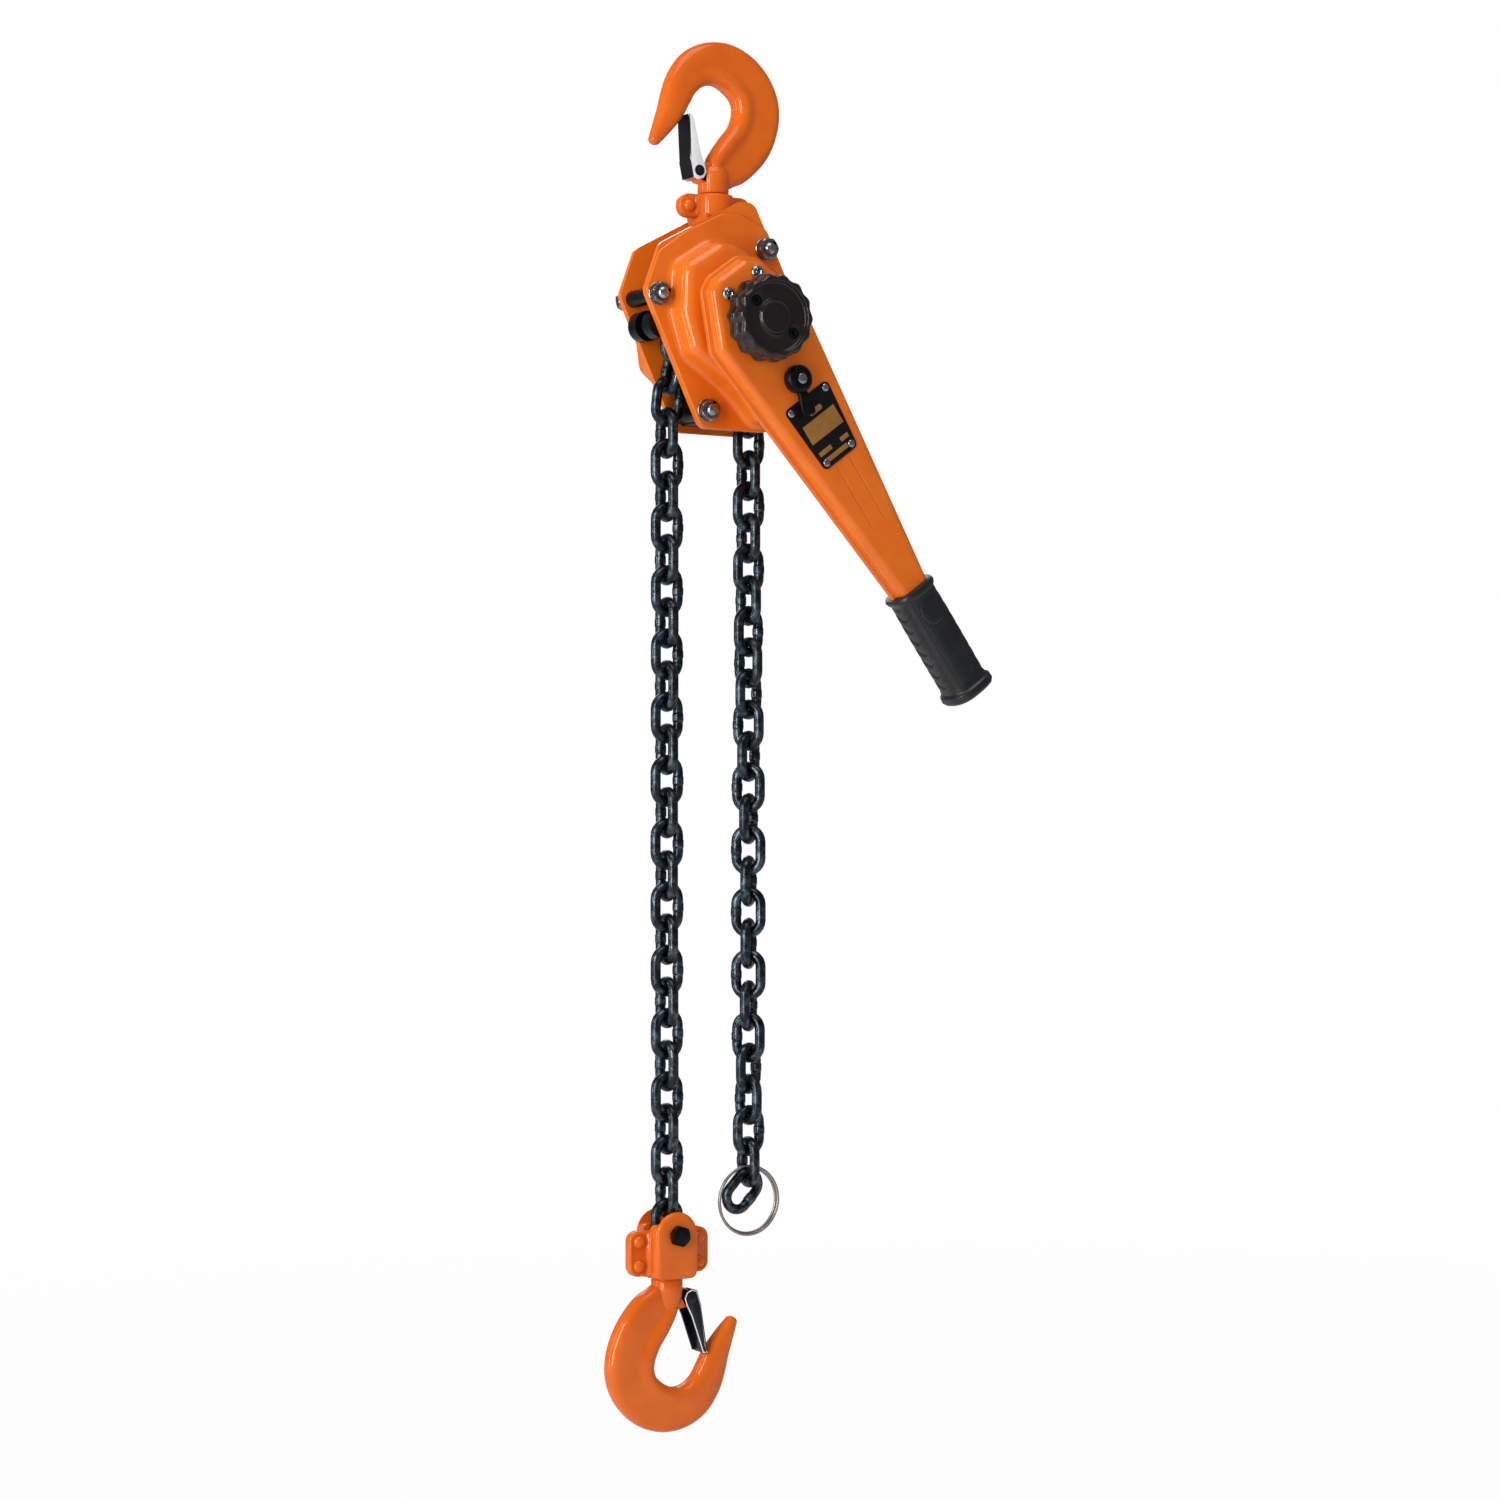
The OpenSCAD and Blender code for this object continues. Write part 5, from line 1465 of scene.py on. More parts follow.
@dataclass
class Lever:
    """Two pressed shells back to back, with a turned flange between them.

    Attributes:
        thickness: Over both shells.
        front_y: Distance of the front face from the chain.
        wall: Sheet thickness.
        corner: Corner radius of the outline.
        outline_corners: Corners of the outline, along and across the lever.
        screw_places: Socket screws, along and across.
        side_parts: Parts that each side of the outline is cut into.
        groove_cuts: Cuts along the lever; the grooves run from the second to the third.
        groove_across: Distance of either groove from the lever's middle line.
        groove_sides: Cuts beside a groove's own line, which keep the face flat up to it.
        groove_depth: Depth of the grooves.
    """

    thickness: float = 31.0
    front_y: float = 88.0
    wall: float = 2.5
    corner: float = 12.0
    outline_corners: tuple[Point, ...] = (
        (4, 57), (-46.74, 38.475), (-59.85, 21.09), (-59.85, -17.1), (-53.01, -31.35), (1, -57), (335, -17.8),
        (335, 17.8)
    )
    screw_places: tuple[Point, ...] = ((-38.475, 22.2), (-38.475, -16.2))
    side_parts: tuple[int, ...] = (3, 2, 2, 2, 3, 48, 4, 48)
    groove_cuts: tuple[float, ...] = (157, 161, 225, 229)
    groove_across: float = 8.4
    groove_sides: tuple[float, ...] = (-1.2, -0.9, 0.0, 0.9, 1.2)
    groove_depth: float = 1.1

    def ring(self, depth: float, y: float, notch: bool = False) -> list[Vector]:
        """Lever outline moved inwards, at a depth.

        Args:
            depth: Distance inwards.
            y: Depth of the ring.
            notch: Whether the flange stops short of the grip on its right.

        Returns:
            The ring's points.
        """
        steps = 7
        base = rounded(inset(self.outline_corners, depth), max(4.0, self.corner - depth), steps)
        points: list[Vector] = []
        for corner, parts in enumerate(self.side_parts):
            group = base[corner * (steps + 1) : (corner + 1) * (steps + 1)]
            following = base[((corner + 1) * (steps + 1)) % len(base)]
            points += group + [group[-1].lerp(following, k / parts) for k in range(1, parts)]
        if notch:
            points = [Vector((p.x, p.y - 2.0 * ease(p.x, 181, 187))) if p.y > 12 else p for p in points]
        return front([on_lever(p.x, p.y) for p in points], y)

    def shell(self, name: str, node: str, side: int) -> None:
        """Presses one shell.

        Args:
            name: The piece's name.
            node: The CAD node it stands for.
            side: Minus one for the front shell, one for the rear.
        """
        middle = -(self.front_y - self.thickness / 2) + side * 0.05
        h, w = self.thickness / 2 - 0.05, self.wall
        levels = [
            (11.0 + w, h - w, False), (7.0 + w, h - w - 2, False), (5 + w, h - w - 6, False),
            (4 + w, 0.0, False)
        ]
        levels += [
            (0.5, 0.0, True), (0.0, 0.4, True), (0.0, w - 0.8, True), (0.3, w - 0.25, True), (0.9, w, True),
            (3.2, w, True)
        ]
        levels += [(4.0, w + 0.4, False), (4.3, w + 1.4, False), (4.7, h - 7, False)]
        levels += [
            (4.7 + 7 * (1 - cos(t)), h - 7 + 7 * sin(t), False)
            for t in (0.26, 0.52, 0.79, 1.05, 1.31, pi / 2)
        ]
        shape = Shape(ORANGE)
        caps = shape.loft([self.ring(depth, middle + side * up, notch) for depth, up, notch in levels])
        if side < 0:
            self.grooves(shape, caps[-1])
        shape.place(name, Body.LEVER, node, sharp=42)

    def grooves(self, shape: Shape, face: Face) -> None:
        """Presses two fine grooves into the front between the name plate and the grip.

        Args:
            shape: The shell.
            face: Its front face.
        """
        along = Vector((on_lever(1, 0).x, 0, on_lever(1, 0).y)).normalized()
        across = Vector((on_lever(0, 1).x, 0, on_lever(0, 1).y)).normalized()
        axis = Vector((0, 0, SHEAVE_Z))
        line = self.groove_across
        cuts = [(along, a) for a in self.groove_cuts]
        cuts += [(across, b + e) for b in (-line, line) for e in self.groove_sides]
        faces = [face]
        for normal, at in cuts:
            geom = list({g for f in faces for g in (f, *f.edges, *f.verts)})
            cut = bmesh.ops.bisect_plane(
                shape.bm, geom=geom, dist=1e-5, plane_co=axis + normal * at, plane_no=normal
            )
            faces = list({g for g in cut["geom"] if isinstance(g, Face)})
        for vert in {v for f in faces for v in f.verts}:
            from_axis = vert.co - axis
            a, b = from_axis.dot(along), from_axis.dot(across)
            on_line = min(abs(b - line), abs(b + line)) < 0.01
            if on_line and self.groove_cuts[1] - 1 < a < self.groove_cuts[2] + 1:
                vert.co.y += self.groove_depth

    def build(self) -> None:
        """Builds the shells and their screws."""
        self.shell("lever_front_pressing", "lever_front_shell", -1)
        self.shell("lever_rear_pressing", "lever_rear_shell", 1)
        screws = Shape(ZINC)
        fasteners = Fasteners()
        for a, b in self.screw_places:
            place = on_lever(a, b)
            screws.turn_y([(3.0, -87.0), (3.0, -57.0)], place, 24)
            fasteners.socket_head(screws, place, 6.2, 4.6, -self.front_y, 3.9, 2.6)
            fasteners.nut(screws, place, 10.0, -57.0, 3.0, 1, 12.0)
        screws.place("lever_socket_screws", Body.LEVER, "lever_screws")


@dataclass
class NamePlate:
    """Printed plate on four rivets, with plain tan fields.

    Attributes:
        y: Y of the lever's face.
        thickness: Thickness of the plate.
        corners: Corners of the plate, along and across the lever.
        fields: From and to along the lever, from and to across it, and corner radius.
        rivets: Rivets, along and across.
    """

    y: float = -88.0
    thickness: float = 1.2
    corners: tuple[Point, ...] = ((84, -29), (154, -22), (154, 22), (84, 29))
    fields: tuple[tuple[float, float, float, float, float], ...] = (
        (107.0, 126.6, -20.6, 21.4, 0.5), (98.2, 103.6, -6.8, 9.5, 2.2), (136.2, 140.8, -19.6, -3.4, 0.4),
        (144.6, 149.3, -15.8, 12.6, 0.4), (136.8, 141.2, 8.6, 19.0, 0.4),
    )
    rivets: tuple[Point, ...] = ((89.5, 23), (89.5, -23), (148.5, 17), (148.5, -17))

    def on_face(self, corners: Sequence[Point], depth: float, radius: float, steps: int) -> list[Vector]:
        """Sets a rounded outline on the lever's face.

        Args:
            corners: Its corners, along and across the lever.
            depth: Distance it is moved inwards.
            radius: Corner radius.
            steps: Segments per corner.

        Returns:
            The outline as it lies on the front.
        """
        return [on_lever(p.x, p.y) for p in rounded(inset(corners, depth), radius, steps)]

    def build(self) -> None:
        """Builds the plate, its fields and its rivets."""
        plate = Shape(PRINTED, TAN)
        top = self.y - self.thickness
        top_edge = [(0.0, self.y), (0.0, top + 0.35), (0.12, top + 0.1), (0.4, top)]
        plate.slab(lambda depth: self.on_face(self.corners, depth, 5.0 - depth, 6), top_edge)
        plate.slot = 1
        for a0, a1, b0, b1, corner in self.fields:
            corners = [(a0, b0), (a1, b0), (a1, b1), (a0, b1)]
            raised = [(0.0, top + 0.1), (0.0, top - 0.12), (0.12, top - 0.22)]
            plate.slab(lambda depth: self.on_face(corners, depth, corner, 4), raised)
        plate.place("printed_name_plate", Body.LEVER, "name_plate")
        heads = Shape(ZINC)
        for a, b in self.rivets:
            heads.turn_y([(0, top + 1.2)] + dome(3.75, top, 1.6, -1.0)[1:], on_lever(a, b), 28)
        heads.place("name_plate_rivet_heads", Body.LEVER, "name_plate_rivets")


@dataclass
class Selector:
    """Forged arm that picks the direction, on a steel pin.

    Attributes:
        centre: The pivot, along and across the lever.
        arm_angle_deg: Lean of the arm from straight down.
        back_y: Y of the boss's underside.
        stations: Distance along the arm, width, and Y of its back and front.
    """

    centre: Point = (66.0, 0.0)
    arm_angle_deg: float = 18.5
    back_y: float = -88.4
    stations: tuple[tuple[float, float, float, float], ...] = (
        (-2, 15.0, -89.2, -96.2), (6, 13.5, -89.2, -96.4), (11, 10.6, -89.5, -96.2),
        (15, 10.2, -90.2, -96.4), (19, 12.0, -91.0, -97.4), (23, 14.2, -91.2, -98.2),
        (28, 15.0, -91.4, -98.4), (32, 14.4, -91.6, -98.2), (34.4, 12.4, -92.2, -97.7),
        (35.4, 8.6, -93.2, -96.8),
    )

    def build(self) -> None:
        """Turns the boss, lofts the arm and turns the pin."""
        centre = on_lever(*self.centre)
        shape = Shape(BLACK_STEEL_AND_PAINTED_GAP_SHADE)
        y = self.back_y
        boss = [
            (0, y + 7.4), (6, y + 7.4), (6, y), (12.6, y), (13.4, y - 0.8), (13.4, y - 7.4), (12.9, y - 8.8),
            (11.4, y - 10.2), (9.6, y - 11.0), (7.4, y - 11.4), (6.6, y - 10.9), (0, y - 10.9)
        ]
        shape.turn_y(boss, centre, 56)
        lean = radians(self.arm_angle_deg)
        d = Vector((sin(lean), -cos(lean)))
        s = Vector((-d.y, d.x))
        rings = []
        for along, width, low, high in smooth_through(self.stations, 3):
            ring = []
            for i in range(32):
                f = 2 * pi * i / 32
                cx, cy = squarish(cos(f), 0.62), squarish(sin(f), 0.62)
                place = centre + d * along + s * width / 2 * cx
                ring.append(Vector((place.x, (low + high) / 2 + (high - low) / 2 * cy, place.y + SHEAVE_Z)))
            rings.append(ring)
        shape.loft(rings)
        shape.place("selector_arm", Body.SELECTOR, "selector_lever", sharp=46)
        pin = Shape(ZINC)
        pin.turn_y(
            [
                (0, y - 4), (3.5, y - 4), (3.5, y - 12.0), (4.9, y - 12.1), (4.9, y - 12.6), (4.0, y - 13.2),
                (2.0, y - 13.5), (0, y - 13.6)
            ],
            centre, 32
        )
        pin.place("selector_pivot_pin", Body.SELECTOR, "selector_pin")


@dataclass
class HandWheel:
    """Cast wheel with scalloped sides, a recessed face, a bare disc and two socket screws.

    Attributes:
        radius: Radius over the lobes.
        lobes: Number of lobes.
        hollow: Depth of the hollows between them.
        back_y: Y of the wheel's back.
        depth: From the back to the face.
        screw_places: Socket screws about the wheel's axis.
        profile: Height over the back, distance inside the radius and share of the full hollow.
    """

    radius: float = 41.5
    lobes: int = 14
    hollow: float = 2.6
    back_y: float = -88.6
    depth: float = 31.0
    screw_places: tuple[Point, ...] = ((20.09, -13.97), (-20.09, 13.97))
    profile: tuple[tuple[float, float, float], ...] = (
        (0.0, 7.6, 0), (0.5, 7.0, 0), (3.6, 6.8, 0), (4.3, 5.0, 0.3), (5.0, 1.9, 0.8), (6.2, 0.5, 1),
        (10, 0.0, 1), (14.6, 0.2, 0.95), (16.4, 1.0, 0.85), (17.4, 1.9, 0.8), (18.6, 1.5, 0.85),
        (21, 1.1, 1), (26, 1.3, 1), (28.2, 2.0, 0.9), (29.8, 3.3, 0.7), (30.7, 4.9, 0.5), (31.0, 6.3, 0.3),
    )

    def lobed(self, inwards: float, factor: float, y: float) -> list[Vector]:
        """Scalloped ring.

        Args:
            inwards: Distance inside the outer radius.
            factor: Share of the full hollow between lobes.
            y: Depth of the ring.

        Returns:
            The ring's points.
        """
        steps = self.lobes * 12
        points = []
        for k in range(steps):
            f = 2 * pi * k / steps
            hollow = self.hollow * factor * (1 - cos(f * self.lobes)) / 2
            radius = self.radius - inwards - hollow
            points.append(radius * Vector((cos(f), sin(f))))
        return front(points, y)

    def build(self) -> None:
        """Casts the wheel and sets its screws."""
        shape = Shape(WHEEL_BROWN, CAST_BOSS)
        steps = self.lobes * 12
        face = self.back_y - self.depth
        floor = face + 5.0
        rings = [front(circle(29.5, steps), self.back_y - 8.5), front(circle(29.5, steps), self.back_y)]
        rings += [self.lobed(inwards, factor, self.back_y - up) for up, inwards, factor in self.profile]
        rings += [
            front(circle(r, steps), y)
            for r, y in (
                (34.2, face), (33.4, face + 0.3), (33.0, face + 1.0), (32.6, floor - 1.2),
                (32.0, floor - 0.35), (31.0, floor)
            )
        ]
        shape.loft(rings, (True, False))
        shape.loft(
            [
                front(circle(r, 96), y)
                for r, y in (
                    (18.4, floor), (17.4, floor - 0.4), (16.8, floor - 1.2), (15.9, face + 1.9),
                    (15.4, face + 1.6), (14.6, face + 1.5), (13.9, face + 1.6), (13.5, face + 1.9)
                )
            ],
            (False, False)
        )
        shape.slot = 1
        shape.loft(
            [
                front(circle(r, 96), y)
                for r, y in ((13.5, face + 1.9), (12.0, face + 1.95), (10.5, face + 1.95))
            ],
            (False, True)
        )
        shape.slot = 0
        for place in self.screw_places:
            shape.loft(
                [
                    front(moved(circle(r, 40), place), y)
                    for r, y in ((6.0, floor), (5.6, floor + 0.25), (5.5, floor + 0.6), (5.5, floor + 3.0))
                ],
                (False, True)
            )
        edges = [e for e in shape.bm.edges if e.is_boundary]
        filled = bmesh.ops.triangle_fill(shape.bm, edges=edges, use_beauty=True)["geom"]
        shape.paint(g for g in filled if isinstance(g, Face))
        shape.place("cast_hand_wheel", Body.HAND_WHEEL, "hand_wheel", sharp=40)
        screws = Shape(BLACK_STEEL_AND_PAINTED_GAP_SHADE)
        for place in self.screw_places:
            Fasteners().socket_head(screws, place, 4.8, 4.2, floor + 3.0, 2.9, 0.5)
        screws.place("hand_wheel_socket_screws", Body.HAND_WHEEL, "hand_wheel_screws")


@dataclass
class Grip:
    """Moulded rubber grip: oval, a collar at each end, ribs down its sides and a woven face.

    Attributes:
        start: Where it starts along the lever.
        length: Its length.
        width: Width at its plain middle.
        depth: Depth there.
        middle_y: Y of its middle.
        around, along: Points round it and sections along it.
        mean_radius: Radius by which an angle is read as a distance.
        weave, weave_depth: Pitch and depth of the woven face.
        rib, rib_slant, rib_depth: Pitch of the ribs, how far they slant per radian, and their depth.
        badge, badge_half: Middle of the plain oval along the grip, and its half length and half width.
        profile: Pairs of distance along it and scale of the section.
    """

    start: float = 301.0
    length: float = 124.0
    width: float = 45.0
    depth: float = 42.0
    middle_y: float = -72.5
    around: int = 144
    along: int = 130
    mean_radius: float = 17.0
    weave: float = 4.6
    weave_depth: float = 0.8
    rib: float = 13.0
    rib_slant: float = 14.0
    rib_depth: float = 1.3
    badge: float = 27.0
    badge_half: Point = (13.0, 8.0)
    profile: tuple[tuple[float, float], ...] = (
        (0, 0.9), (1, 1.06), (4, 1.1), (7, 1.06), (9, 0.98), (40, 1), (80, 1), (106, 0.99), (112, 1.02),
        (115, 1.14), (120, 1.157), (123, 1.08), (124, 0.98),
    )

    def scale(self, s: float) -> float:
        """Looks up the scale of the section.

        Args:
            s: Distance along the grip.

        Returns:
            The scale.
        """
        for (s0, k0), (s1, k1) in zip(self.profile, self.profile[1:]):
            if s <= s1:
                return k0 + (k1 - k0) * ease(s, s0, s1)
        return self.profile[-1][1]

    def relief(self, s: float, f: float) -> float:
        """Depth of the moulded pattern.

        Args:
            s: Distance along the grip.
            f: Angle round it; nought is its right side and a quarter turn its front.

        Returns:
            Height over the plain surface, in millimetres, nought or less.
        """
        window = ease(s, 10, 13) * (1 - ease(s, 106, 110))
        facing = abs((f - pi / 2 + pi) % (2 * pi) - pi)
        rear = abs((f + pi / 2 + pi) % (2 * pi) - pi)
        side = min(abs((f + pi) % (2 * pi) - pi), abs(f % (2 * pi) - pi))
        across = facing * self.mean_radius
        oval = hypot((s - self.badge) / self.badge_half[0], across / self.badge_half[1])
        round_badge = ease(oval, 1.0, 1.12) if facing < rear else 1.0
        weave_here = window * (1 - ease(min(facing, rear), 0.62, 0.72)) * round_badge
        t = (f - pi / 2) * self.mean_radius
        one_way, other_way = (cos(2 * pi * (s + side_step) / self.weave) for side_step in (t, -t))
        weave = 0.5 - 0.5 * one_way * other_way
        rim = -0.5 * (1 - ease(abs(oval - 1.06), 0.02, 0.1)) if facing < rear and window > 0.5 else 0.0
        chevron = (s + abs(side) * self.rib_slant) % self.rib
        rib = ease(chevron, 0.4, 1.6) * (1 - ease(chevron, 8.4, 9.6))
        rib_here = window * (1 - ease(side, 0.56, 0.68))
        return -self.weave_depth * weave_here * weave - self.rib_depth * rib_here * (1 - rib) + rim

    def build(self) -> None:
        """Moulds the grip."""
        shape = Shape(RUBBER)
        even = {round(self.length * k / self.along, 3) for k in range(self.along + 1)}
        marks = sorted(even | {0.5, 1.5, 113.5, 114.5, 122.0, 123.5})
        rings = []
        for s in marks:
            ring = []
            k = self.scale(s)
            for i in range(self.around):
                f = 2 * pi * i / self.around
                cx, cy = squarish(cos(f), 0.75), squarish(sin(f), 0.75)
                out = Vector((self.width / 2 * k * cx, self.depth / 2 * k * cy))
                out += unit(out) * self.relief(s, f)
                place = on_lever(self.start + s, out.x)
                ring.append(Vector((place.x, self.middle_y - out.y, place.y + SHEAVE_Z)))
            rings.append(ring)
        shape.loft(rings)
        shape.place("moulded_grip", Body.LEVER, "grip", sharp=50)


def boxed(x0: float, x1: float, z0: float, z1: float) -> list[Point]:
    """Corners of an upright rectangle, anticlockwise."""
    return [(x0, z0), (x1, z0), (x1, z1), (x0, z1)]


@dataclass
class Yoke:
    """Forged swivel yoke in two riveted halves, with a lobed ear on either side.

    Attributes:
        radius: Radius of the barrel.
        top: Height of its top.
        ear_half: From the axis to an ear's end.
        rivet_x, rivet_z: Places of the rivets.
        pin_z: Height of the tongue's round end.
    """

    radius: float = 19.5
    top: float = -105.0
    ear_half: float = 39.0
    rivet_x: float = 28.5
    rivet_z: float = -117.0
    pin_z: float = -145.5

    def half(self, name: str, node: str, side: int) -> None:
        """Forges one half and parts it at the joint plane.

        Args:
            name: The piece's name.
            node: The CAD node it stands for.
            side: Minus one for the front half, one for the rear.
        """
        shape = Shape(ORANGE_FORGED)
        r = self.radius
        body = [
            (0, 0), (10.4, 0), (r - 3.0, 0), (r - 1.4, -0.4), (r - 0.4, -1.3), (r, -2.6), (r, -46), (0, -46)
        ]
        shape.turn(body, Vector((0, 0, self.top)), Vector((0, 0, 1)), 64)
        turns = [pi + pi * k / 20 for k in range(21)]
        tongue = [Vector((r * cos(t), self.pin_z + r * sin(t))) for t in turns]
        tongue += [Vector((r, -125)), Vector((-r, -125))]
        shape.slab(partial(inset, tongue), [(1.5, -18.5), (0, -17), (0, 17), (1.5, 18.5)], 0.0)
        ears = boxed(-self.ear_half, self.ear_half, -128, -105.5)
        ring = [
            (1.9, -5.0), (0.9, -4.8), (0.25, -4.2), (0.0, -3.3), (0.0, 3.3), (0.25, 4.2), (0.9, 4.8),
            (1.9, 5.0)
        ]
        shape.plate(ears, 10.6, 10, ring)
        fillet = boxed(-r - 3.2, r + 3.2, -127.2, -106.5)
        blend = [(3.4, -7.4), (1.2, -6.0), (0.0, -4.6), (0.0, 4.6), (1.2, 6.0), (3.4, 7.4)]
        shape.slab(lambda depth: rounded(inset(fillet, depth), 3.0, 4), blend, 0.0)
        part(shape, side)
        shape.place(name, Body.YOKE, node, sharp=40)

    def build(self) -> None:
        """Builds both halves and their rivets."""
        self.half("yoke_half_front", "yoke_front", -1)
        self.half("yoke_half_rear", "yoke_rear", 1)
        rivets(
            ("yoke_rivet_heads", Body.YOKE, "yoke_rivets"),
            [(x, self.rivet_z) for x in (-self.rivet_x, self.rivet_x)]
        )


def part(shape: Shape, side: int) -> None:
    """Keeps one side of the plane between two halves and closes the cut.

    Args:
        shape: The mesh to part.
        side: Minus one keeps the front, one the rear.
    """
    geom = [*shape.bm.verts, *shape.bm.edges, *shape.bm.faces]
    cut = bmesh.ops.bisect_plane(
        shape.bm, geom=geom, dist=1e-4, plane_co=(0, side * 0.1, 0), plane_no=(0, side, 0), clear_inner=True
    )["geom_cut"]
    edges = [g for g in cut if isinstance(g, bmesh.types.BMEdge)]
    bmesh.ops.holes_fill(shape.bm, edges=edges, sides=0)


def rivets(piece: tuple[str, Body, str], places: Sequence[Point]) -> None:
    """Builds rivets with a domed head on either side of a pair of ears.

    Args:
        piece: Its name, the body that carries it and the node it stands for.
        places: Front-view places about the origin.
    """
    shape = Shape(ORANGE_FORGED)
    for place in places:
        end = [(0.0, 8.7), (2.0, 8.45), (3.9, 7.7), (5.3, 6.5), (6.0, 5.2), (6.0, 4.2), (3.5, 4.1)]
        shape.turn_y(mirrored(end), place, 32, 0.0)
    shape.place(piece[0], piece[1], piece[2])


@dataclass
class Block:
    """Load block in two riveted halves: arched cheeks, a slot for the last link and a cross bolt.

    Attributes:
        centre_x: Where its axis hangs.
        floor: Height of its underside.
        bolt_z: Height of the cross bolt.
        half_width: From the axis to a cheek's side.
        ear_half: From the axis to an ear's end.
        foot_radius: Radius of a cheek's lower corners.
    """

    centre_x: float = FALL_X
    floor: float = -1134.566
    bolt_z: float = -1093.066
    half_width: float = 22.0
    ear_half: float = 43.0
    foot_radius: float = 7.0

    def half(self, name: str, node: str, side: int) -> None:
        """Forges one half.

        Args:
            name: The piece's name.
            node: The CAD node it stands for.
            side: Minus one for the front half, one for the rear.
        """
        shape = Shape(ORANGE_FORGED)
        x, w = self.centre_x, self.half_width
        arch = [Vector((x + w * cos(t), self.bolt_z + w * sin(t))) for t in [pi * k / 24 for k in range(25)]]
        low, r = [], self.foot_radius
        for s, quarters in (
            (-1, [pi / 2 * (1 - k / 6) for k in range(7)]), (1, [pi / 2 * k / 6 for k in range(7)])
        ):
            low += [
                Vector((x + s * w - s * r + s * r * sin(t), self.floor + r - r * cos(t))) for t in quarters
            ]
        edge = [(0.0, 18.3), (0.0, 18.8), (0.35, 19.9), (1.0, 20.8), (2.0, 21.5), (3.4, 21.9), (4.6, 22.0)]
        shape.slab(partial(inset, arch + low), [(d, side * y) for d, y in edge], 0.0)
        box = boxed(x - w + 0.1, x + w - 0.1, self.floor + 0.1, self.bolt_z + 9.8)
        shape.plate(box, 6.0, 5, [(0.0, side * 5.95), (0.0, side * 18.6), (0.6, side * 19.4)])
        base = boxed(x - w + 0.2, x + w - 0.2, self.floor + 0.2, self.bolt_z - 18.0)
        shape.plate(base, 5.0, 5, [(0.0, side * 0.1), (0.0, side * 6.4)])
        rolled = [(0.0, 0.1), (0.0, 3.0), (0.3, 4.0), (1.0, 4.75), (2.0, 5.0), (3.0, 4.75), (3.8, 4.3)]
        ears = boxed(x - self.ear_half, x + self.ear_half, self.floor + 3, self.floor + 46)
        shape.plate(ears, 10.0, 8, [(d, side * y) for d, y in rolled])
        step = boxed(x - w - 3, x + w + 3, self.floor + 1.2, self.floor + 45)
        shape.plate(step, 3.6, 4, [(0.0, side * 4.2), (0.5, side * 5.2), (3.0, side * 7.6)])
        shape.place(name, Body.BLOCK, node, sharp=40)

    def build(self) -> None:
        """Builds the halves, their rivets and the cross bolt."""
        self.half("block_half_front", "block_front", -1)
        self.half("block_half_rear", "block_rear", 1)
        places = [
            (self.centre_x + s * (self.ear_half - 10.5), self.bolt_z + z)
            for s in (-1, 1)
            for z in (-5.5, -28.5)
        ]
        rivets(("block_rivet_heads", Body.BLOCK, "block_rivets"), places)
        place = (self.centre_x, self.bolt_z)
        bolt = Shape(BLACK_STEEL_AND_PAINTED_GAP_SHADE)
        Fasteners().nut(bolt, place, 18.0, -22.4, 7.2, -1, 12.0, 0.0)
        bolt.turn_y([(0, -30.0), (3.5, -29.95), (6.2, -29.6), (6.4, -29.2), (0, -29.0)], place, 40, 0.0)
        bolt.turn_y([(0, -22.5), (6.0, -22.5), (6.0, 30.4), (5.0, 31.3), (0, 31.5)], place, 40, 0.0)
        bolt.place("chain_cross_bolt", Body.BLOCK, "chain_bolt")
        nut = Shape(BLACK_STEEL_AND_PAINTED_GAP_SHADE)
        Fasteners().nut(nut, place, 18.0, 22.5, 8.0, 1, 4.0, 0.0, bore=6.1)
        nut.place("chain_cross_bolt_nut", Body.BLOCK, "chain_bolt_nut")


@dataclass
class SplitRing:
    """Ring of spring wire, two turns side by side, through the last link.

    Attributes:
        outer: Outer diameter.
        wire: Diameter of the wire.
        turns: Number of turns.
        pitch: Distance along Y from turn to turn.
        closing: How much the coil's radius shrinks per turn.
        steps, around: Points per turn and round the wire.
    """

    outer: float = 70.0
    wire: float = 2.8
    turns: float = 2.0
    pitch: float = 2.7
    closing: float = 1.2
    steps: int = 112
    around: int = 14

    def build(self) -> None:
        """Sweeps the wire along its coil and tapers its ends."""
        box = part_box("split_ring")
        low, high = (Vector(v) / MM for v in box)
        centre = ((low.x + high.x) / 2, (low.z + high.z) / 2)
        radius = (self.outer - self.wire) / 2
        steps = self.steps
        count = int(self.turns * steps)
        rings = []
        for k in range(count + 1):
            a = pi / 2 + 2 * pi * k / steps
            y = self.pitch * (k / steps - self.turns / 2)
            taper = 0.62 + 0.38 * min(ease(k, 0, 5), ease(count - k, 0, 5))
            out = Vector((cos(a), 0, sin(a)))
            at = Vector((centre[0], y, centre[1])) + out * (radius - self.closing * k / steps)
            section = [2 * pi * i / self.around for i in range(self.around)]
            rings.append(
                [at + self.wire / 2 * taper * (out * cos(b) + Vector((0, sin(b), 0))) for b in section]
            )
        shape = Shape(NICKEL)
        shape.loft(rings)
        shape.place("double_split_ring", Body.SPLIT_RING, "split_ring", sharp=60)


BRAKE_DOME: tuple[Point, ...] = (
    (-62, 8), (-50, -30), (-9, -57), (25, -93), (44, -93), (88, -12), (46, 46), (6, 72), (-4, 77), (-22, 78),
    (-60, 54)
)
GEAR_DOME: tuple[Point, ...] = (
    (-59, 12), (-52, -38), (-10, -71), (50, -71), (80, -6), (44, 44), (4, 84), (-20, 84), (-56, 56)
)


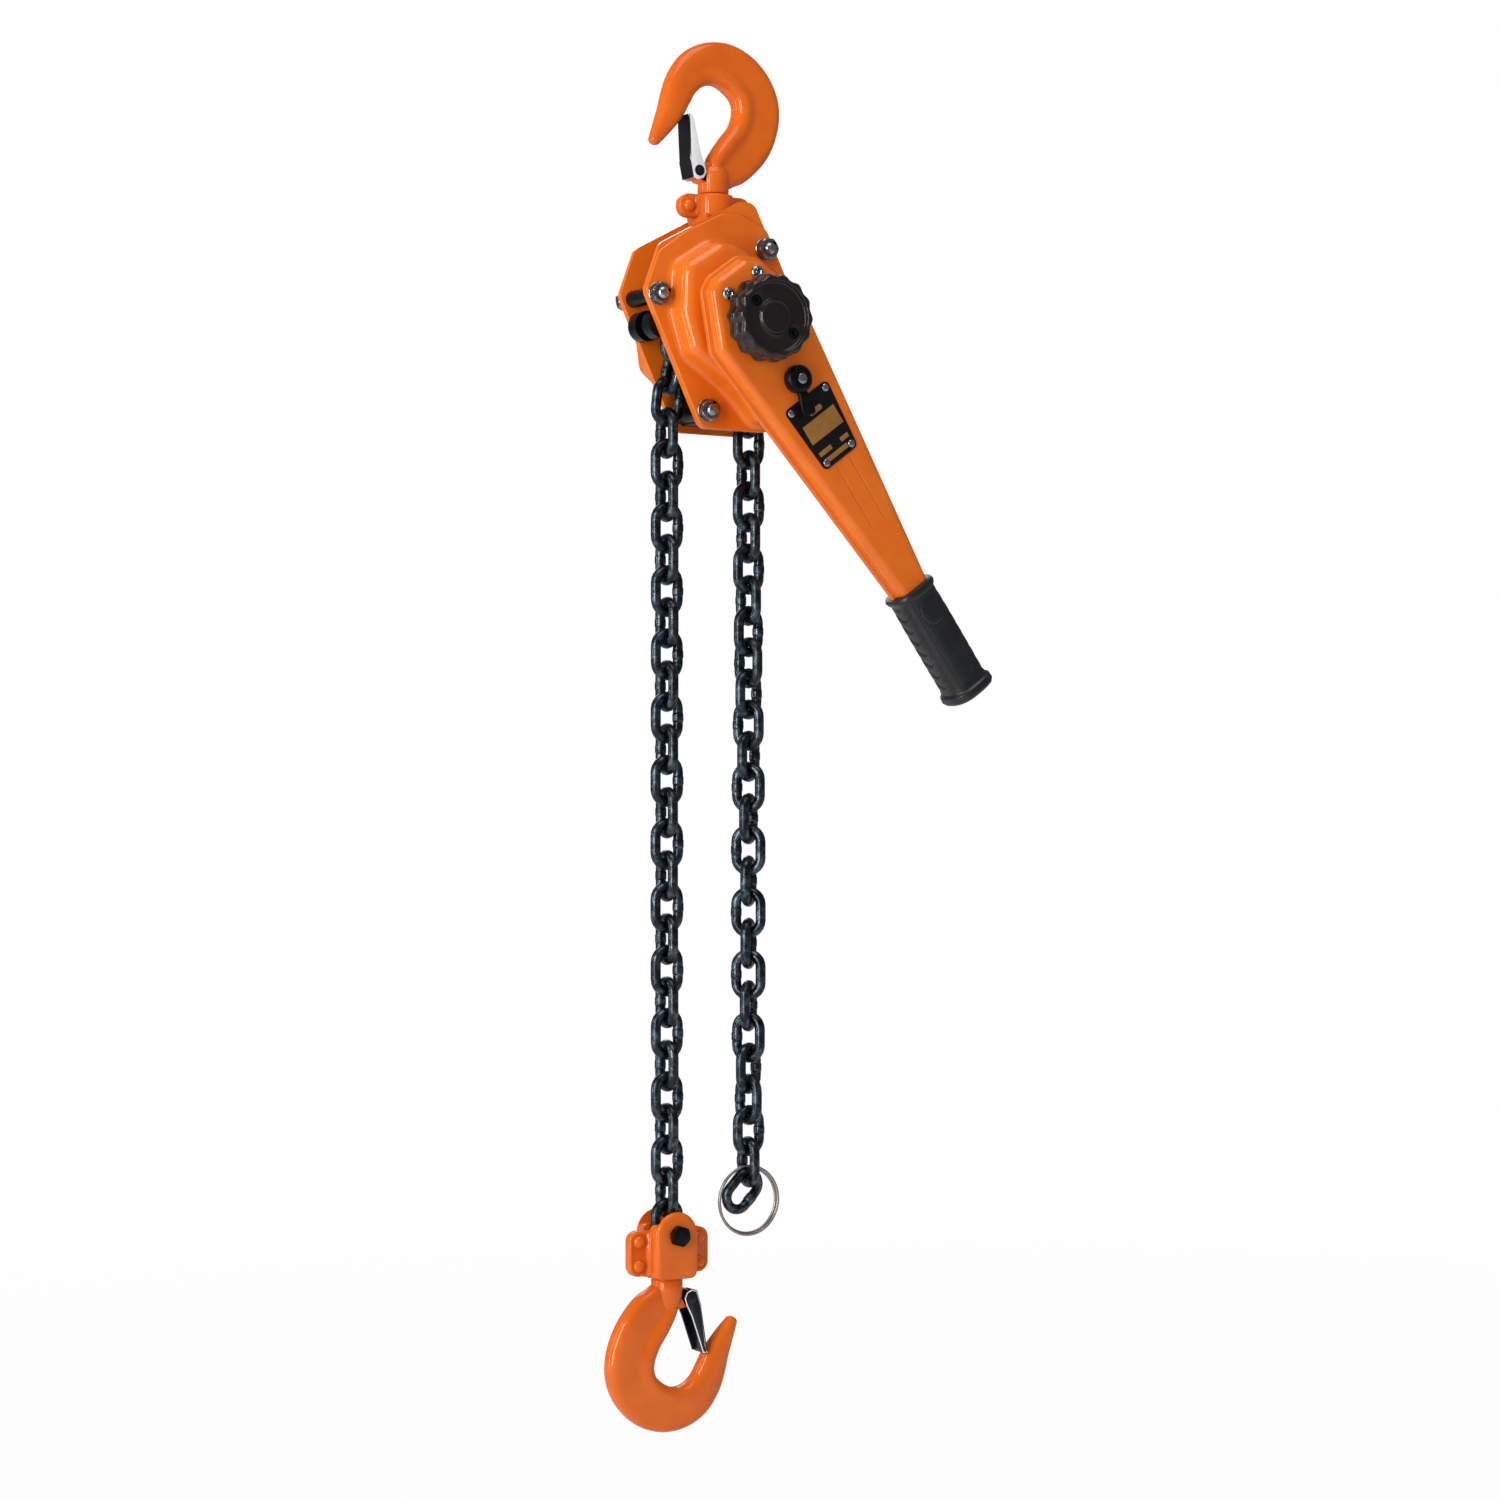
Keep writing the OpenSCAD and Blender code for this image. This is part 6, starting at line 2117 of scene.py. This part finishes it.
def assemblies() -> list[object]:
    """Lists the sub-assemblies.

    Returns:
        They, in the order they are built.
    """
    load = Matrix.Translation((FALL_X, 0, LOAD_SADDLE_Z)) @ Matrix.Rotation(pi, 4, "Y")
    plain = Matrix.Identity(4)
    return [
        Hook("forged_top_hook", Body.TOP_HOOK, "top_hook", plain),
        Latch("folded_top_latch", Body.TOP_LATCH, ("top_latch", "top_latch_pin"), plain, Body.TOP_HOOK),
        Yoke(),
        PressedCover("pressed_brake_cover", "brake_cover", -1, BRAKE_DOME, 27.0),
        PressedCover("pressed_gear_cover", "gear_cover", 1, GEAR_DOME, 34.0),
        Fasteners(),
        Lever(),
        Grip(),
        NamePlate(),
        Selector(),
        HandWheel(),
        Chain(),
        Block(),
        Hook(
            "forged_load_hook", Body.BOTTOM_HOOK, "bottom_hook", load, LOAD_BOWL_SHIFT,
            shank_end=(
                (0, 44), (2.4, 42.6), (5.2, 39.6), (8.2, 35.0), (11.0, 29.4), (13.2, 23.4), (14.5, 17.2),
                (15, 11.0)
            ),
        ),
        # Load latch: its cheeks painted dark as shade, their rims painted bright as a highlight.
        Latch(
            "folded_load_latch", Body.BOTTOM_LATCH, ("bottom_latch", "bottom_latch_pin"), load,
            Body.BOTTOM_HOOK, LOAD_BOWL_SHIFT, True
        ),
        SplitRing(),
    ]


# ---------------------------------------------------------------- studio


@dataclass(frozen=True)
class SoftBox:
    """Rectangular lamp aimed at the middle of the hoist.

    Attributes:
        name: The lamp's name.
        azimuth_deg: Where it stands, turned from straight in front, positive to the right.
        elevation_deg: Its angle over the horizon.
        distance, width, height: Its distance and size in metres.
        watts: Its power.
        in_reflections: Whether glossy surfaces mirror it.
    """

    name: str
    azimuth_deg: float
    elevation_deg: float
    distance: float
    width: float
    height: float
    watts: float
    in_reflections: bool = True

    def build(self) -> None:
        """Places the lamp."""
        a, e = radians(self.azimuth_deg), radians(self.elevation_deg)
        back = Vector((sin(a) * cos(e), -cos(a) * cos(e), sin(e)))
        data = bpy.data.lights.new(self.name, "AREA")
        data.shape = "RECTANGLE"
        data.size, data.size_y = self.width, self.height
        data.energy = self.watts
        lamp = bpy.data.objects.new(self.name, data)
        bpy.context.scene.collection.objects.link(lamp)
        lamp.location = Vector((0, 0, HOIST_MIDDLE_M)) + back * self.distance
        lamp.visible_glossy = self.in_reflections
        lamp.rotation_mode = "QUATERNION"
        lamp.rotation_quaternion = (-back).to_track_quat("-Z", "Y")


HOIST_MIDDLE_M = -0.55
LAMPS = (
    SoftBox("key", -58.0, 7.0, 3.4, 0.3, 2.8, 44.0),
    SoftBox("key_twin", -72.0, 7.0, 3.4, 0.3, 2.8, 44.0),
    SoftBox("strip_left", -112.0, 4.0, 2.6, 0.12, 2.2, 14.0),
    SoftBox("fill_right", 58.0, 10.0, 3.0, 1.6, 1.6, 8.0, in_reflections=False),
    SoftBox("top", -20.0, 70.0, 2.6, 1.8, 1.8, 24.0),
    SoftBox("back", 165.0, 25.0, 3.0, 1.6, 1.6, 18.0),
)


@dataclass
class Studio:
    """Pale floor, white surround, soft lamps and the camera.

    Attributes:
        azimuth_deg: Where the camera stands, turned from straight in front, positive to the right.
        distance_mm: Camera distance to the hoist's axis along the view.
        aside_mm: Camera offset to its own right.
        height_mm: Camera height over the origin.
        lens_mm: Focal length on a 36 mm sensor.
        floor_mm: Height of the floor.
        floor_radius: Radius of the floor in metres.
        floor_fade: Distances in metres between which the floor's shade fades out.
        white: Colour of the surround where it is seen.
        ambient, ambient_glossy: Strength of the surround's light, and what glossy surfaces mirror of it.
    """

    azimuth_deg: float = -31.0
    distance_mm: float = 3300.0
    aside_mm: float = 35.4
    height_mm: float = -634.4
    lens_mm: float = 82.85
    floor_mm: float = -1420.0
    floor_radius: float = 9.0
    floor_fade: Point = (1.5, 3.2)
    white: str = "FFFFFF"
    ambient: float = 0.34
    ambient_glossy: float = 0.18

    def build(self) -> None:
        """Makes the camera, the lamps, the floor and the surround."""
        self.camera()
        for lamp in LAMPS:
            lamp.build()
        self.surround()
        self.floor()

    def camera(self) -> None:
        """Places the camera level, at the object's viewing angle."""
        turn = radians(self.azimuth_deg)
        back = Vector((sin(turn), -cos(turn), 0))
        right = Vector((cos(turn), sin(turn), 0))
        data = bpy.data.cameras.new("camera")
        data.lens = self.lens_mm
        data.sensor_width = 36.0
        data.clip_start, data.clip_end = 0.1, 50
        camera = bpy.data.objects.new("camera", data)
        bpy.context.scene.collection.objects.link(camera)
        camera.location = (
            back * self.distance_mm + right * self.aside_mm + Vector((0, 0, self.height_mm))
        ) * MM
        camera.rotation_mode = "QUATERNION"
        camera.rotation_quaternion = (-back).to_track_quat("-Z", "Y")
        bpy.context.scene.camera = camera

    def seen_white(self, tree: Tree) -> Socket:
        """Factor that is one for camera and transmission rays.

        Args:
            tree: The node tree that needs it.

        Returns:
            The factor's socket.
        """
        path = add(tree, "ShaderNodeLightPath")
        either = add(
            tree,
            "ShaderNodeMath",
            settings={"operation": "MAXIMUM"},
            links={0: path.outputs["Is Camera Ray"], 1: path.outputs["Is Transmission Ray"]},
        )
        return either.outputs[0]

    def surround(self) -> None:
        """White surround that lights the hoist softly."""
        world = bpy.data.worlds.new("surround")
        bpy.context.scene.world = world
        world.use_nodes = True
        tree = world.node_tree
        tree.nodes.clear()
        light = add(tree, "ShaderNodeLightPath")
        dimmed = add(
            tree, "ShaderNodeMapRange", values={"To Min": self.ambient, "To Max": self.ambient_glossy},
            links={"Value": light.outputs["Is Glossy Ray"]}
        )
        soft = add(
            tree, "ShaderNodeBackground", values={"Color": linear("F4F6FA")},
            links={"Strength": dimmed.outputs["Result"]}
        )
        seen = add(tree, "ShaderNodeBackground", values={"Color": linear(self.white), "Strength": 1.0})
        mix = add(
            tree, "ShaderNodeMixShader", links={
                "Fac": self.seen_white(tree), 1: soft.outputs[0], 2: seen.outputs[0]
            }
        )
        add(tree, "ShaderNodeOutputWorld", links={"Surface": mix.outputs[0]})

    def floor(self) -> None:
        """Pale floor under the hoist that keeps a trace of its shadow."""
        bm = bmesh.new()
        bmesh.ops.create_circle(bm, cap_ends=True, radius=self.floor_radius, segments=64)
        bmesh.ops.translate(bm, vec=(0, 0, self.floor_mm * MM), verts=bm.verts)
        mesh = bpy.data.meshes.new("floor")
        bm.to_mesh(mesh)
        bm.free()
        material = bpy.data.materials.new("matt_painted_floor")
        material.use_nodes = True
        tree = material.node_tree
        tree.nodes.clear()
        paint = add(tree, "ShaderNodeBsdfDiffuse", values={"Color": linear("F2F2F2")})
        glow = add(tree, "ShaderNodeEmission", values={"Color": linear(self.white), "Strength": 1.0})
        place = add(tree, "ShaderNodeTexCoord")
        away = add(
            tree, "ShaderNodeVectorMath", settings={"operation": "LENGTH"}, links={0: place.outputs["Object"]}
        )
        near, far = self.floor_fade
        fade = add(
            tree, "ShaderNodeMapRange",
            values={"From Min": near, "From Max": far, "To Min": 0.93, "To Max": 1.0},
            links={"Value": away.outputs["Value"]}
        )
        most = add(
            tree, "ShaderNodeMath", settings={"operation": "MULTIPLY"},
            links={0: self.seen_white(tree), 1: fade.outputs["Result"]}
        )
        mix = add(
            tree, "ShaderNodeMixShader",
            links={"Fac": most.outputs[0], 1: paint.outputs[0], 2: glow.outputs[0]}
        )
        add(tree, "ShaderNodeOutputMaterial", links={"Surface": mix.outputs[0]})
        mesh.materials.append(material)
        floor = bpy.data.objects.new("floor", mesh)
        bpy.context.scene.collection.objects.link(floor)


def main() -> None:
    """Builds the studio and dresses the hoist."""
    bpy.context.scene.view_settings.view_transform = "Standard"
    Studio().build()
    dress_nodes()
    for assembly in assemblies():
        log.info("building %s", type(assembly).__name__)
        assembly.build()


if __name__ == "__main__":
    main()
